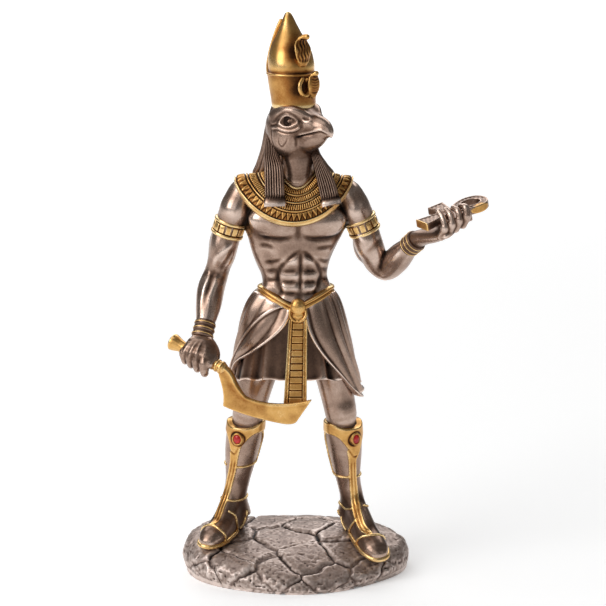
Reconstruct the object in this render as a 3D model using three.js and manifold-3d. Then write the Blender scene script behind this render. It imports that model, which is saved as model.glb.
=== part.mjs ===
/**
 * A falcon-headed sky-god statuette in cold-cast bronze resin.
 *
 * The god stands with his feet apart on a mound of flagstones. He wears the double crown with two
 * rearing cobras, a striped headcloth with two front lappets, a broad bead collar, arm bands, bangles,
 * a pleated wrap kilt with a belt, a buckle and a long laddered sash, and tall boots with a gilt ridge.
 * His right hand holds a sickle sword and his left hand, palm up, an ankh.
 *
 * Millimetres, +Z up. The god faces -Y, so his right side is at -X. The origin is the middle of the
 * underside. There are four cast pieces and two set stones: stone_base, falcon_figure, khopesh, ankh,
 * right_cabochon and left_cabochon.
 */
import * as THREE from "three";
import { LoftGeometry } from "three/addons/geometries/LoftGeometry.js";
import { mergeVertices } from "three/addons/utils/BufferGeometryUtils.js";
import Module from "manifold-3d";

const wasm = await Module();
wasm.setup();

// Driving dimensions.
const FIGURE_HEIGHT = 284; // soles to the tip of the crown
const BASE_LENGTH = 123;
const BASE_DEPTH = 95;
const BASE_CREST = 19.5; // the highest ground, just behind the heels
const GROUND_FALL = 3.5; // from the crest to the ground under the middle of the feet
const SOLE_LEVEL = BASE_CREST - GROUND_FALL; // the figure's heights start here
const STONE_SIZE = 29; // one flagstone across
const STONE_JOINT = 1.1; // the open crack between two flagstones
const STONE_RELIEF = 1.3; // how deep the cracks run
const STONE_UNEVEN = 0.8; // from the lowest flagstone's top to the highest one's
const BLADE_LENGTH = 49; // from the heel of the blade to its tip
const BLADE_THICKNESS = 3.2;
const HILT_RADIUS = 3.1;
const ANKH_LENGTH = 41;
const ANKH_WIDTH = 26; // across the arms
const ANKH_THICKNESS = 4.2;
const CABOCHON_RADIUS = 1.9;
const BEZEL_WALL = 1.1; // the gilt rim round a cabochon
const FIT_GAP = 0.3; // between two pieces that are glued together

// The sculptor's unit: 1 mm while the figure is 284 mm tall. The figure's own forms are laid out in it.
const UNIT = FIGURE_HEIGHT / 284;

const BRONZE = new THREE.MeshStandardMaterial({ color: 0x7a6355, metalness: 0.75, roughness: 0.38 });
const GOLD = new THREE.MeshStandardMaterial({ color: 0xd9b06a, metalness: 0.7, roughness: 0.4 });
const ROCK = new THREE.MeshStandardMaterial({ color: 0x86776d, metalness: 0.55, roughness: 0.55 });
const RED = new THREE.MeshStandardMaterial({ color: 0xc2302b, metalness: 0.0, roughness: 0.15 });

const UP = new THREE.Vector3(0, 0, 1);
const ACROSS = new THREE.Vector3(1, 0, 0);

/** A point of the figure: units to the side, to the back and up from the soles. */
const at = (x, y, z) => new THREE.Vector3(x * UNIT, y * UNIT, z * UNIT + SOLE_LEVEL);

/** From 0 to 1 with soft ends as x goes from low to high. */
const ease = (x, low, high) => THREE.MathUtils.smoothstep(x, low, high);

/** A soft bump of height 1 round a middle. */
const bump = (x, middle, width) => Math.exp(-(((x - middle) / width) ** 2));

/** Reads a table of [place, ...values] at a place, easing from one row to the next. */
function readTable(table, place) {
  const next = table.findIndex((row) => row[0] >= place);
  if (next < 1) return next < 0 ? table.at(-1).slice(1) : table[0].slice(1);
  const [low, high] = [table[next - 1], table[next]];
  const share = ease(place, low[0], high[0]) * 0.5 + (0.5 * (place - low[0])) / (high[0] - low[0]);
  return low.slice(1).map((value, i) => THREE.MathUtils.lerp(value, high[i + 1], share));
}

/** A closed solid from a three.js geometry: shared corners are merged and empty triangles dropped. */
function solid(geometry) {
  const bare = new THREE.BufferGeometry();
  bare.setAttribute("position", geometry.getAttribute("position"));
  bare.setIndex(geometry.getIndex());
  const merged = mergeVertices(bare, 1e-4);
  const corners = [...merged.index.array];
  const kept = [];
  for (let i = 0; i < corners.length; i += 3) {
    const [a, b, c] = corners.slice(i, i + 3);
    if (a !== b && b !== c && c !== a) kept.push(a, b, c);
  }
  const make = (indices) =>
    new wasm.Manifold(
      new wasm.Mesh({
        numProp: 3,
        vertProperties: Float32Array.from(merged.attributes.position.array),
        triVerts: Uint32Array.from(indices),
      }),
    );
  const made = make(kept);
  return made.volume() < 0 ? make(kept.reverse()) : made;
}

/** The union of several solids. */
const fuse = (solids) => solids.reduce((whole, next) => whole.add(next));

/** A three.js mesh with its own material from a finished solid. */
function piece(name, made, material) {
  const { vertProperties, triVerts } = made.getMesh();
  const geometry = new THREE.BufferGeometry();
  geometry.setAttribute("position", new THREE.BufferAttribute(Float32Array.from(vertProperties), 3));
  geometry.setIndex(new THREE.BufferAttribute(Uint32Array.from(triVerts), 1));
  geometry.computeVertexNormals();
  const mesh = new THREE.Mesh(geometry, material.clone());
  mesh.name = name;
  return mesh;
}

/** Skins a closed body through rings of points; each end closes on its own middle. */
function skin(rings) {
  const closed = (ring) => {
    const middle = ring.reduce((sum, p) => sum.add(p), new THREE.Vector3()).divideScalar(ring.length);
    return ring.map(() => middle);
  };
  return solid(new LoftGeometry([closed(rings[0]), ...rings, closed(rings.at(-1))]));
}

/** One oval ring in the plane of two unit directions; flute(angle) scales it round the circle. */
function oval(centre, u, v, wide, deep, sides, flute = () => 1) {
  return Array.from({ length: sides }, (_, i) => {
    const angle = (2 * Math.PI * i) / sides;
    const r = flute(angle);
    return centre
      .clone()
      .addScaledVector(u, wide * r * Math.cos(angle))
      .addScaledVector(v, deep * r * Math.sin(angle));
  });
}

/**
 * A limb: ovals square to a line of stations, each [point, half width, half depth] in units.
 * The width lies along `side`. A rounded end closes with two smaller rings.
 */
function limb(stations, side, sides, roundEnd = false) {
  const points = stations.map((s) => s[0]);
  const rings = stations.map(([point, wide, deep], i) => {
    const before = points[Math.max(i - 1, 0)];
    const after = points[Math.min(i + 1, points.length - 1)];
    const along = after.clone().sub(before).normalize();
    const u = side.clone().addScaledVector(along, -side.dot(along)).normalize();
    return { point, along, u, v: along.clone().cross(u), wide: wide * UNIT, deep: deep * UNIT };
  });
  if (roundEnd) {
    const last = rings.at(-1);
    const reach = Math.min(last.wide, last.deep);
    for (const [ahead, share] of [[0.55, 0.8], [0.95, 0.35]]) {
      const point = last.point.clone().addScaledVector(last.along, reach * ahead);
      rings.push({ ...last, point, wide: last.wide * share, deep: last.deep * share });
    }
  }
  return skin(rings.map((r) => oval(r.point, r.u, r.v, r.wide, r.deep, sides)));
}

/** An upright egg with its three half sizes in units. */
function egg(centre, wide, deep, tall, segments) {
  const ball = new THREE.SphereGeometry(UNIT, segments, Math.round(segments * 0.7));
  ball.rotateX(Math.PI / 2);
  ball.scale(wide, deep, tall);
  return solid(ball.translate(centre.x, centre.y, centre.z));
}

// The ground rises to a crest behind the heels and falls away to the front, most of all at his left foot.
const RIM = 16; // points round the mound

/** Height of the ground at a place. */
const ground = (x, y) =>
  BASE_CREST * (1 - (1.4 + (1.55 * x) / BASE_LENGTH) * (y / BASE_DEPTH - 0.147) ** 2);

/** The mound's outline, an oval that wanders a little: a point of it at an angle. */
function moundEdge(angle) {
  const wander = 1 + 0.022 * Math.sin(3 * angle + 0.6) + 0.016 * Math.sin(5 * angle + 2.0);
  return new THREE.Vector2(
    (BASE_LENGTH / 2) * Math.cos(angle) * wander,
    (BASE_DEPTH / 2) * Math.sin(angle) * wander,
  );
}

/** The mound as one rounded body, grown all over by `lift` or shrunk where that is negative. */
function mound(lift) {
  const profile = [[0.97, 0], [1, 0.3], [0.975, 0.75], [0.88, 0.96], [0.66, 1]];
  const rings = profile.map(([share, height]) =>
    Array.from({ length: RIM }, (_, i) => {
      const edge = moundEdge((2 * Math.PI * i) / RIM);
      const grown = share * (height > 0 ? 1 + lift / edge.length() : 1);
      const top = ground(edge.x * share, edge.y * share) - 0.1 * BASE_CREST * share ** 6 + lift;
      return new THREE.Vector3(edge.x * grown, edge.y * grown, height * top);
    }),
  );
  return skin(rings);
}

/** Cuts a flat polygon back to the side of a line that `inside` points at. */
function clip(polygon, onLine, inside) {
  const out = [];
  const depth = (p) => p.clone().sub(onLine).dot(inside);
  polygon.forEach((p, i) => {
    const q = polygon[(i + 1) % polygon.length];
    const dp = depth(p);
    const dq = depth(q);
    if (dp >= 0) out.push(p);
    if (dp * dq < 0) out.push(p.clone().lerp(q, dp / (dp - dq)));
  });
  return out;
}

/** Middles of the flagstones: a staggered grid, each pushed off its place by a fixed wave. */
function stoneSeeds() {
  const seeds = [];
  const across = Math.ceil(BASE_LENGTH / STONE_SIZE / 2) + 1;
  const back = Math.ceil(BASE_DEPTH / STONE_SIZE / 2) + 1;
  for (let row = -back; row <= back; row++) {
    for (let column = -across; column <= across; column++) {
      const stagger = (row % 2) * 0.5;
      const pushX = 0.24 * Math.sin(12.9 * row + 7.3 * column);
      const pushY = 0.24 * Math.sin(5.1 * row - 9.7 * column + 1);
      seeds.push(
        new THREE.Vector2((column + stagger + pushX) * STONE_SIZE, (row + pushY) * STONE_SIZE * 0.86),
      );
    }
  }
  return seeds;
}

/** The base: a core mound with flagstones that stand out of it, with open joints between them. */
function stoneBase() {
  const core = mound(-STONE_RELIEF - STONE_UNEVEN / 2);
  const seeds = stoneSeeds();
  const reach = BASE_LENGTH;
  const stones = seeds.map((seed, n) => {
    let outline = [[-1, -1], [1, -1], [1, 1], [-1, 1]].map(
      ([x, y]) => new THREE.Vector2(seed.x + x * STONE_SIZE, seed.y + y * STONE_SIZE),
    );
    for (const other of seeds) {
      if (other === seed || other.distanceTo(seed) > reach / 2) continue;
      const inside = seed.clone().sub(other).normalize();
      const onLine = seed.clone().lerp(other, 0.5).addScaledVector(inside, STONE_JOINT / 2);
      outline = clip(outline, onLine, inside);
    }
    const slab = new THREE.ExtrudeGeometry(new THREE.Shape(outline), {
      depth: 2 * BASE_CREST,
      bevelEnabled: false,
    });
    const sunk = STONE_UNEVEN * (0.5 + 0.5 * Math.sin(4.7 * n));
    return solid(slab).intersect(mound(-sunk));
  });
  const smallest = 0.15 * STONE_SIZE ** 2 * BASE_CREST; // a sliver at the rim is left as bare ground
  return fuse([core, ...stones.filter((stone) => stone.volume() > smallest)]);
}

// The god's stance. Joints are named for his own right and left; his right is at -X.

/** A point on the ground under a foot. */
const onGround = (x, y) => new THREE.Vector3(x * UNIT, y * UNIT, ground(x * UNIT, y * UNIT));

const LEGS = {
  right: {
    hip: at(-10, 1, 118),
    thigh: at(-19, -1, 92),
    knee: at(-24.3, -3, 70),
    top: at(-25, -1.5, 66.5),
    calf: at(-27.6, 1.5, 50),
    shin: at(-29.4, 3, 37),
    ankle: at(-31.2, 6, 23),
    heel: onGround(-27.8, 13.5),
    toe: onGround(-46.6, -21),
    facing: -0.32,
  },
  left: {
    hip: at(13, 1, 118),
    thigh: at(21.5, -1, 92),
    knee: at(25.6, -3, 70),
    top: at(26.4, -1.5, 66),
    calf: at(27.7, 1.5, 50),
    shin: at(28.9, 3, 37),
    ankle: at(31.2, 6, 22),
    heel: onGround(28.6, 13.5),
    toe: onGround(46.2, -27),
    facing: 0.6,
  },
};
const ARMS = {
  right: {
    shoulder: at(-29, 1, 184.5),
    band: at(-33.9, 2, 171),
    middle: at(-37.8, 4, 156),
    elbow: at(-40, 6.5, 147.5),
    swell: at(-43, -1, 137),
    wrist: at(-48, -14.5, 114.5),
  },
  left: {
    shoulder: at(31.2, 1, 184.5),
    band: at(36.4, 2, 172.5),
    middle: at(41, 4, 160),
    elbow: at(46.6, 7, 146.5),
    swell: at(53.4, 0.5, 153.4),
    wrist: at(64.6, -15, 167.5),
  },
};

// The trunk's outline: [height, half width, half depth, middle y].
const TRUNK = [
  [122, 17.5, 12.5, 0],
  [132, 18.6, 12.5, 0],
  [140, 17.4, 11.6, 0],
  [146, 16.4, 11, 0],
  [152, 17.4, 11.4, 0],
  [160, 20.3, 12.8, 0.4],
  [168, 23.6, 14, 0.8],
  [176, 26.2, 14.4, 1],
  [184, 27.2, 13.4, 1.4],
  [189, 25, 12, 2],
  [193, 19.6, 10.4, 2.4],
  [197, 13, 9, 2],
  [200, 8.6, 8, 1],
];
// Columns of the trunk's skin by angle from the front, and its rows: close where the belly muscles lie.
const TRUNK_SIDES = [0.1, 0.27, 0.44, 0.62, 0.9, 1.25, 1.7, 2.4];
const TRUNK_ROWS = [
  124, 136, 142.3, 145.4, 148.6, 151.8, 153.6, 155.6, 158.5, 162.5, 166.5, 169.4, 171.6, 176, 182,
  187, 192, 198,
];

/** How far muscle stands out of the plain trunk at an angle and a height. */
function muscle(angle, z) {
  const side = Math.abs(angle);
  const chest = 2.5 * ease(z, 169.4, 172) * (1 - ease(z, 183, 192)) * bump(side, 0.6, 0.45);
  const breastbone = -1.2 * bump(angle, 0, 0.12) * ease(z, 166, 172) * (1 - ease(z, 184, 190));
  const ribs = 1.5 * bump(side, 0.7, 0.32) * bump(z, 161.5, 6);
  const archHalf = z > 148 ? 0.6 * Math.sqrt(Math.max(0, (165 - z) / 17)) : 0.6 - 0.012 * (148 - z);
  const inArch = ease(archHalf - side, -0.05, 0.07) * ease(z, 128, 134);
  const blocks = [158.5, 148.6, 142.3, 134.8].reduce((sum, row) => sum + bump(z, row, 2.4), 0);
  const belly = inArch * (-1.2 + 1.9 * Math.min(1, blocks) * bump(side, 0.27, 0.16));
  const rib = [155.3, 150, 145.2].reduce((sum, row) => sum + bump(z, row, 1.3), 0);
  const furrows = -1 * rib * bump(side, 0.92, 0.28);
  const flank = 1.4 * bump(side, 1.15, 0.35) * bump(z, 139, 4.5);
  const spine = -1.6 * bump(side, Math.PI, 0.25);
  const blades = 1.5 * bump(side, 2.35, 0.35) * bump(z, 178, 9);
  return chest + breastbone + ribs + belly + furrows + flank + spine + blades;
}

/** The bare trunk with its chest, rib arch and belly muscles. */
function trunk() {
  const angles = [0, ...TRUNK_SIDES, Math.PI, ...TRUNK_SIDES.map((a) => -a).reverse()];
  const rings = TRUNK_ROWS.map((z) => {
    const [wide, deep, y] = readTable(TRUNK, z);
    return angles.map((angle) => {
      const out = muscle(angle, z);
      const turned = angle + 0.05; // the chest turns a little to his left
      return at(1.4 + (wide + out) * Math.sin(turned), y - (deep + out) * Math.cos(turned), z);
    });
  });
  return skin(rings);
}

/** Rings of a band round a limb from a to b: [share, half width, half depth], scaled along the way. */
const cuff = (a, b, rows) => rows.map(([share, wide, deep]) => [a.clone().lerp(b, share), wide, deep]);

/**
 * An arm in one skin from inside the shoulder to the wrist: shoulder cap, gilt arm band between two
 * rims, biceps, elbow, forearm swell and three bangles. Each station is a place between two joints, a
 * push out of the line (outward, forward) and the half width and depth.
 */
function arm({ shoulder, band, middle, elbow, swell, wrist }, side, bangleFrom, bangleTo) {
  const place = (a, b, share, outward, forward) =>
    a.clone().lerp(b, share).add(new THREE.Vector3(side * outward, -forward, 0).multiplyScalar(UNIT));
  const along = middle.clone().sub(shoulder).normalize();
  const [bandTop, bandEnd] = [-3.6, 3.6].map((far) => band.clone().addScaledVector(along, far * UNIT));
  const bandRows = [
    [0, 7.2, 7.5],
    [0.03, 8.5, 8.8],
    [0.2, 8.5, 8.8],
    [0.24, 7.8, 8.1],
    [0.76, 7.8, 8.1],
    [0.8, 8.6, 8.9],
    [0.97, 8.6, 8.9],
    [1, 7, 7.3],
  ];
  const bangleRows = Array.from({ length: 7 }, (_, i) => {
    const r = (i % 2 ? 6.1 : 5) * (1 - 0.018 * i);
    return [i / 6, r, r];
  });
  const stations = [
    [place(shoulder, band, -0.65, -4.4, 0), 4.4, 5.6],
    [place(shoulder, band, -0.42, -1, 0), 7.2, 8],
    [place(shoulder, band, -0.05, 0.6, 0.4), 8.6, 9],
    [place(shoulder, band, 0.45, 0.8, 0.4), 8.2, 8.6],
    ...cuff(bandTop, bandEnd, bandRows),
    [place(middle, elbow, 0.1, 0, 1.4), 7, 7.8],
    [place(middle, elbow, 0.7, 0, 0), 6.4, 7],
    [place(elbow, swell, 0.25, 0.4, 0), 6.6, 6.4],
    [place(elbow, swell, 0.9, 0.9, 0), 7.2, 7],
    [place(swell, wrist, 0.3, 0.2, 0), 6.7, 6.3],
    ...cuff(elbow.clone().lerp(wrist, bangleFrom), elbow.clone().lerp(wrist, bangleTo), bangleRows),
  ];
  return limb(stations, ACROSS, 8);
}

/** One bent finger through its joints, with a blunt tip. */
const finger = (points, thick, side) =>
  limb(points.map((p, i) => [p, thick * (1 - 0.08 * i), thick * (1 - 0.08 * i)]), side, 5);

// The sword hand. The hilt runs through the fist from the pommel to the blade.
const POMMEL = at(-61.4, -13, 111.4);
const HILT_END = at(-36.4, -27.5, 101.5);
const HILT = HILT_END.clone().sub(POMMEL).normalize();

/** The right fist: the back of the hand faces forward and the fingers close round the hilt. */
function swordHand() {
  const { wrist } = ARMS.right;
  const grip = (share) => POMMEL.clone().lerp(HILT_END, share);
  const over = new THREE.Vector3(-0.2, -0.75, 0.65).normalize();
  const under = new THREE.Vector3(-0.2, -0.2, -0.95).normalize();
  const shift = (p, ...moves) =>
    moves.reduce((q, [way, far]) => q.addScaledVector(way, far * UNIT), p.clone());
  const hold = HILT_RADIUS / UNIT; // the hand closes round the grip
  const palm = grip(0.45);
  const back = [
    [wrist, 4.4, 4.3],
    [shift(wrist.clone().lerp(palm, 0.5), [over, 1]), 6.6, 4.6],
    [shift(palm, [over, hold - 0.1]), 8.4, 4.8],
    [shift(palm, [over, 1.2], [under, hold - 0.5]), 7.4, 4],
  ];
  const made = [limb(back, HILT, 8)];
  for (let i = 0; i < 4; i++) {
    const root = grip(0.22 + 0.135 * i);
    const knuckle = shift(root, [over, hold + 1.5], [UP, 0.6 + i]);
    const bend = shift(root, [over, hold + 1.1], [under, hold + 0.5]);
    const curl = shift(root, [over, -2.6], [under, hold + 3.1 + 0.3 * i]);
    const tip = shift(root, [over, -hold - 3.3], [under, 2.2]);
    made.push(finger([knuckle, bend, curl, tip], 2.55 - 0.12 * Math.abs(i - 2), HILT));
  }
  const thumb = [
    shift(grip(0.66), [over, 0.5], [UP, 6]),
    shift(grip(0.79), [over, hold + 0.1], [UP, 2]),
    shift(grip(0.74), [over, hold + 1.3], [under, 2.4]),
  ];
  made.push(finger(thumb, 2.8, HILT));
  return fuse(made);
}

// The offering hand holds the ankh: along its length, out of its face and across its arms.
const ANKH_MIDDLE = at(80.9, -22, 182);
const ANKH_ALONG = new THREE.Vector3(0.83, 0.5, 0.245).normalize();
const ANKH_UP = new THREE.Vector3(-0.07, -0.15, 0.98);
const ANKH_ACROSS = ANKH_ALONG.clone().cross(ANKH_UP).normalize();
const ANKH_FACE = ANKH_ACROSS.clone().cross(ANKH_ALONG);

/** The left hand: palm up under the ankh, with four fingers that rise in front of it and a thumb behind. */
function offeringHand() {
  const { wrist } = ARMS.left;
  const toKnuckles = new THREE.Vector3(0.86, -0.12, 0.5).normalize();
  const palm = [
    [wrist, 4.4, 4.6],
    [at(70, -21, 170.4), 6, 4],
    [at(75.6, -26, 173.2), 7.4, 3.6],
    [at(78.8, -30.5, 174.6), 7.6, 3],
  ];
  const thumb = [at(69.5, -13.5, 170), at(78, -10.5, 174), at(86, -9, 176.2), at(90.5, -9, 177.4)];
  const made = [limb(palm, toKnuckles, 8, true), finger(thumb, 2.8, UP)];
  for (let i = 0; i < 4; i++) {
    const root = at(74 + 3.5 * i, -33.2 - 0.2 * i, 172.6 + 1.7 * i);
    const step = (x, y, z) => root.clone().add(new THREE.Vector3(x, y, z).multiplyScalar(UNIT));
    const joints = [root, step(0.9, -2.2, 4.6), step(0.4, -1.6, 9.6), step(-0.6, 1.8, 13 - 1.1 * i)];
    made.push(finger(joints, 2.35, toKnuckles));
  }
  return fuse(made);
}

/** The ankh: stem, two arms and a pointed loop. Grown, it is the room it needs, with the eye filled. */
function ankhSolid(grow = 0) {
  const arms = ANKH_WIDTH / 2 + grow;
  const stem = 0.44 * ANKH_LENGTH + grow;
  const loop = 0.56 * ANKH_LENGTH + grow;
  const waist = 0.058 * ANKH_LENGTH + grow;
  const flare = 0.1 * ANKH_LENGTH + grow;
  const half = 0.19 * ANKH_LENGTH + grow;
  const outline = new THREE.Shape();
  outline.moveTo(-stem, -flare);
  outline.lineTo(-waist, -waist);
  outline.lineTo(-flare, -arms);
  outline.lineTo(flare, -arms);
  outline.lineTo(waist, -waist);
  outline.bezierCurveTo(loop * 0.45, -half * 1.35, loop, -half * 1.15, loop, 0);
  outline.bezierCurveTo(loop, half * 1.15, loop * 0.45, half * 1.35, waist, waist);
  outline.lineTo(flare, arms);
  outline.lineTo(-flare, arms);
  outline.lineTo(-waist, waist);
  outline.lineTo(-stem, flare);
  outline.closePath();
  const rim = 0.105 * ANKH_LENGTH;
  const start = waist + rim * 0.8;
  const end = loop - rim;
  const open = half - rim * 0.72;
  if (grow === 0) {
    const eye = new THREE.Path();
    eye.moveTo(start, 0);
    eye.bezierCurveTo(end * 0.55, open * 1.3, end, open, end, 0);
    eye.bezierCurveTo(end, -open, end * 0.55, -open * 1.3, start, 0);
    outline.holes.push(eye);
  }
  const thick = ANKH_THICKNESS + 2 * grow;
  const bar = new THREE.ExtrudeGeometry(outline, { depth: thick, bevelEnabled: false, curveSegments: 5 });
  bar.translate(0, 0, -thick / 2);
  const basis = new THREE.Matrix4().makeBasis(ANKH_ALONG, ANKH_ACROSS.clone().negate(), ANKH_FACE);
  return solid(bar.applyMatrix4(basis.setPosition(ANKH_MIDDLE)));
}

/** The sickle sword: a hilt with a drum pommel and a collar, and a broad blade across the thighs. */
function khopeshSolid(grow = 0) {
  const radius = (HILT_RADIUS + grow) / UNIT;
  const station = (from, far, share) =>
    [from.clone().addScaledVector(HILT, far * UNIT), radius * share, radius * share];
  const turned = [
    station(POMMEL, -3, 1.45),
    station(POMMEL, 1, 1.4),
    station(POMMEL, 3, 1),
    station(HILT_END, -3, 1),
    station(HILT_END, -2.6, 1.2),
    station(HILT_END, 0, 1.2),
    station(HILT_END, 3, 0.9),
  ];
  const hilt = limb(turned, UP, 10);
  if (grow > 0) return hilt;
  // The blade lies in an upright plane: across and up from the end of the hilt, laid out 49 long.
  const flat = new THREE.Shape();
  flat.moveTo(-2.2, -3);
  flat.quadraticCurveTo(1.8, -9, -0.2, -20);
  flat.quadraticCurveTo(12, -25.6, 32, -28.8);
  flat.quadraticCurveTo(36.5, -29.2, 38.4, -27.6);
  flat.lineTo(46.6, -15.2);
  flat.quadraticCurveTo(26, -21, 12.5, -15.4);
  flat.quadraticCurveTo(4.5, -11, 2, -4);
  flat.quadraticCurveTo(0.6, 1.4, -1.4, 2);
  const blade = new THREE.ExtrudeGeometry(flat, {
    depth: BLADE_THICKNESS,
    bevelEnabled: false,
    curveSegments: 4,
  });
  blade.translate(0, 0, -BLADE_THICKNESS / 2);
  blade.rotateX(Math.PI / 2);
  blade.scale(BLADE_LENGTH / 49, 1, BLADE_LENGTH / 49);
  blade.rotateZ(-0.12);
  blade.translate(HILT_END.x, HILT_END.y, HILT_END.z);
  return fuse([hilt, solid(blade)]);
}

// The head turns towards his left shoulder: ahead of the face, aside to his right cheek, and up.
const HEAD_TURN = THREE.MathUtils.degToRad(45);
const CROWN_LEAN = THREE.MathUtils.degToRad(5);
const SKULL = at(-1, -1, 226);
const AHEAD = new THREE.Vector3(Math.sin(HEAD_TURN), -Math.cos(HEAD_TURN), 0);
const ASIDE = new THREE.Vector3(-Math.cos(HEAD_TURN), -Math.sin(HEAD_TURN), 0);
const CROWN_UP = UP.clone().applyAxisAngle(ASIDE, CROWN_LEAN);

/** A point of the head: units ahead, to its right cheek and up from the middle of the skull. */
const onHead = (ahead, aside, up) =>
  SKULL.clone()
    .addScaledVector(AHEAD, ahead * UNIT)
    .addScaledVector(ASIDE, aside * UNIT)
    .addScaledVector(UP, up * UNIT);

/** Upright ovals set along the face: rows of [ahead, top, bottom, half width]. */
const alongFace = (rows, sides) => {
  const rings = rows.map(([ahead, top, low, half]) =>
    oval(onHead(ahead, 0, (top + low) / 2), ASIDE, UP, half * UNIT, ((top - low) / 2) * UNIT, sides),
  );
  return skin(rings);
};

/** The falcon's head: skull, hooked bill over a closed jaw, brows and eyes. */
function falconHead() {
  const skull = [
    [-12.8, 4.5, -3.5, 4.5],
    [-9.5, 10, -11, 9.4],
    [-4, 12.4, -14, 11.9],
    [2, 13, -15, 12.7],
    [8, 12, -15, 12.2],
    [12, 9.8, -14.4, 10.2],
    [15, 7.4, -12.8, 7.6],
  ];
  const bill = [
    [9, 7.6, -2.5, 8.6],
    [14, 6.8, -2.5, 7.4],
    [18, 5.8, -2.4, 6],
    [22, 5, -2, 4.6],
    [26, 3.4, -1.9, 3.3],
    [29, 1.4, -2.8, 2.1],
    [30.6, -0.8, -3.4, 0.9],
  ];
  const jaw = [
    [9, -2.2, -14, 8.2],
    [14, -2.2, -13.7, 7],
    [18, -2.1, -12.2, 5.5],
    [21, -1.8, -9.2, 4.1],
    [25, -1.7, -6, 2.5],
    [27.4, -2.2, -4.4, 1.2],
  ];
  const neck = [
    [onHead(3, 0, -9), 8.6, 8],
    [at(3.8, -3.6, 207), 7.5, 7.6],
    [at(3, 0, 190), 9.5, 9],
  ];
  const brow = [
    [-4, 11.2, 5, 1.2],
    [3, 12, 7.6, 1.8],
    [9, 10, 8, 2.2],
    [13.6, 7.4, 6.4, 1.8],
  ];
  const made = [alongFace(skull, 12), alongFace(bill, 8), alongFace(jaw, 8), limb(neck, ACROSS, 9)];
  for (const side of [-1, 1]) {
    made.push(limb(brow.map(([ahead, aside, up, r]) => [onHead(ahead, side * aside, up), r, r]), UP, 5));
    made.push(egg(onHead(8.2, side * 10.4, 2.4), 3, 3, 2.4, 6));
  }
  return fuse(made);
}

/** The headcloth: a striped curtain behind the head and a lappet down each side of the chest. */
function headcloth() {
  const flutes = (angle) => 1 + 0.03 * Math.cos(6 * angle);
  const curtain = [
    [237, -0.7, 2.2, 9.6, 10],
    [224, -1.8, 4, 12.6, 11],
    [211, -1.8, 5.2, 15.2, 10.4],
    [204, -0.8, 6.6, 18.4, 9.2],
    [198, 0.2, 7.8, 21.4, 8.4],
    [189, 0.6, 9.4, 21, 7.4],
    [176, 1, 12, 16, 4.6],
  ];
  const rings = curtain.map(([z, x, y, wide, deep]) =>
    oval(at(x, y, z), ACROSS, new THREE.Vector3(0, 1, 0), wide * UNIT, deep * UNIT, 18, flutes),
  );
  // A lappet: [x, y, z, half width] down its middle.
  const onRight = [
    [-9.8, 1, 225, 2.6],
    [-11.4, -4, 216, 3.3],
    [-11.4, -7.6, 210, 3.8],
    [-10, -11.6, 204, 5.2],
    [-9.6, -14.6, 196, 5.5],
    [-9.3, -17.4, 186, 5.7],
  ];
  const onLeft = [
    [9.5, -2, 216, 2.3],
    [11.2, -5, 211.5, 2.6],
    [13.4, -8, 206, 3.2],
    [17, -12, 197, 4.8],
    [19.7, -15.8, 186.5, 5.2],
  ];
  const lappet = (rows) => limb(rows.map(([x, y, z, wide]) => [at(x, y, z), wide, 2.8]), ACROSS, 8);
  return fuse([skin(rings), lappet(onRight), lappet(onLeft)]);
}

/** The double crown: a bottle-shaped crown set in a flared cap with a tall back, and two rearing cobras. */
function doubleCrown() {
  const foot = at(0.4, -1, 235.5);
  const profile = [
    [-1, 11.3],
    [8, 12.1],
    [16.8, 12.9],
    [17.4, 12],
    [21, 12.1],
    [26.5, 11.3],
    [32, 9.1],
    [37.5, 6.2],
    [42.5, 3.6],
    [45.5, 2.5],
    [48.6, 1.7],
  ];
  const onCrown = (up, out, aside = 0) =>
    foot
      .clone()
      .addScaledVector(CROWN_UP, up * UNIT)
      .addScaledVector(AHEAD, out * UNIT)
      .addScaledVector(ASIDE, aside * UNIT);
  const tallBack = [[12, 10.4, 6.5], [18, 11.2, 7.2], [27, 10, 5.8], [36, 7.6, 3.6], [43.4, 6, 1.4]];
  // The upper cobra spreads its hood on the bottle crown; the lower one rears over a coil on the cap.
  const hood = [
    [19, 11.6, 2.6],
    [23, 12.4, 5.2],
    [28, 12.2, 5.8],
    [32, 11, 4.2],
    [35, 11.6, 2.2],
    [36.4, 14, 1.6],
  ];
  const coil = Array.from({ length: 8 }, (_, i) => {
    const turn = (i / 7) * 1.7 * Math.PI + 0.4;
    return [onCrown(8.4 + 4.4 * Math.cos(turn), 12.8, 3.4 + 3.6 * Math.sin(turn)), 1.3, 1.3];
  });
  const rearing = [[4.5, 13.2, 1.8], [9, 14.2, 3], [13, 14.2, 2.6], [16, 14.4, 1.6], [16.6, 16, 1.2]];
  return fuse([
    skin(profile.map(([up, r]) => oval(onCrown(up, 0), AHEAD, ASIDE, r * UNIT, r * UNIT, 12))),
    limb(tallBack.map(([up, back, half]) => [onCrown(up, -back), half, 1.6]), ASIDE, 6),
    limb(hood.map(([up, out, half]) => [onCrown(up, out, 3), half, 1.5]), ASIDE, 6),
    limb(coil, AHEAD, 5),
    limb(rearing.map(([up, out, half]) => [onCrown(up, out, -2), half, 1.3]), ASIDE, 6),
  ]);
}

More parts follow.
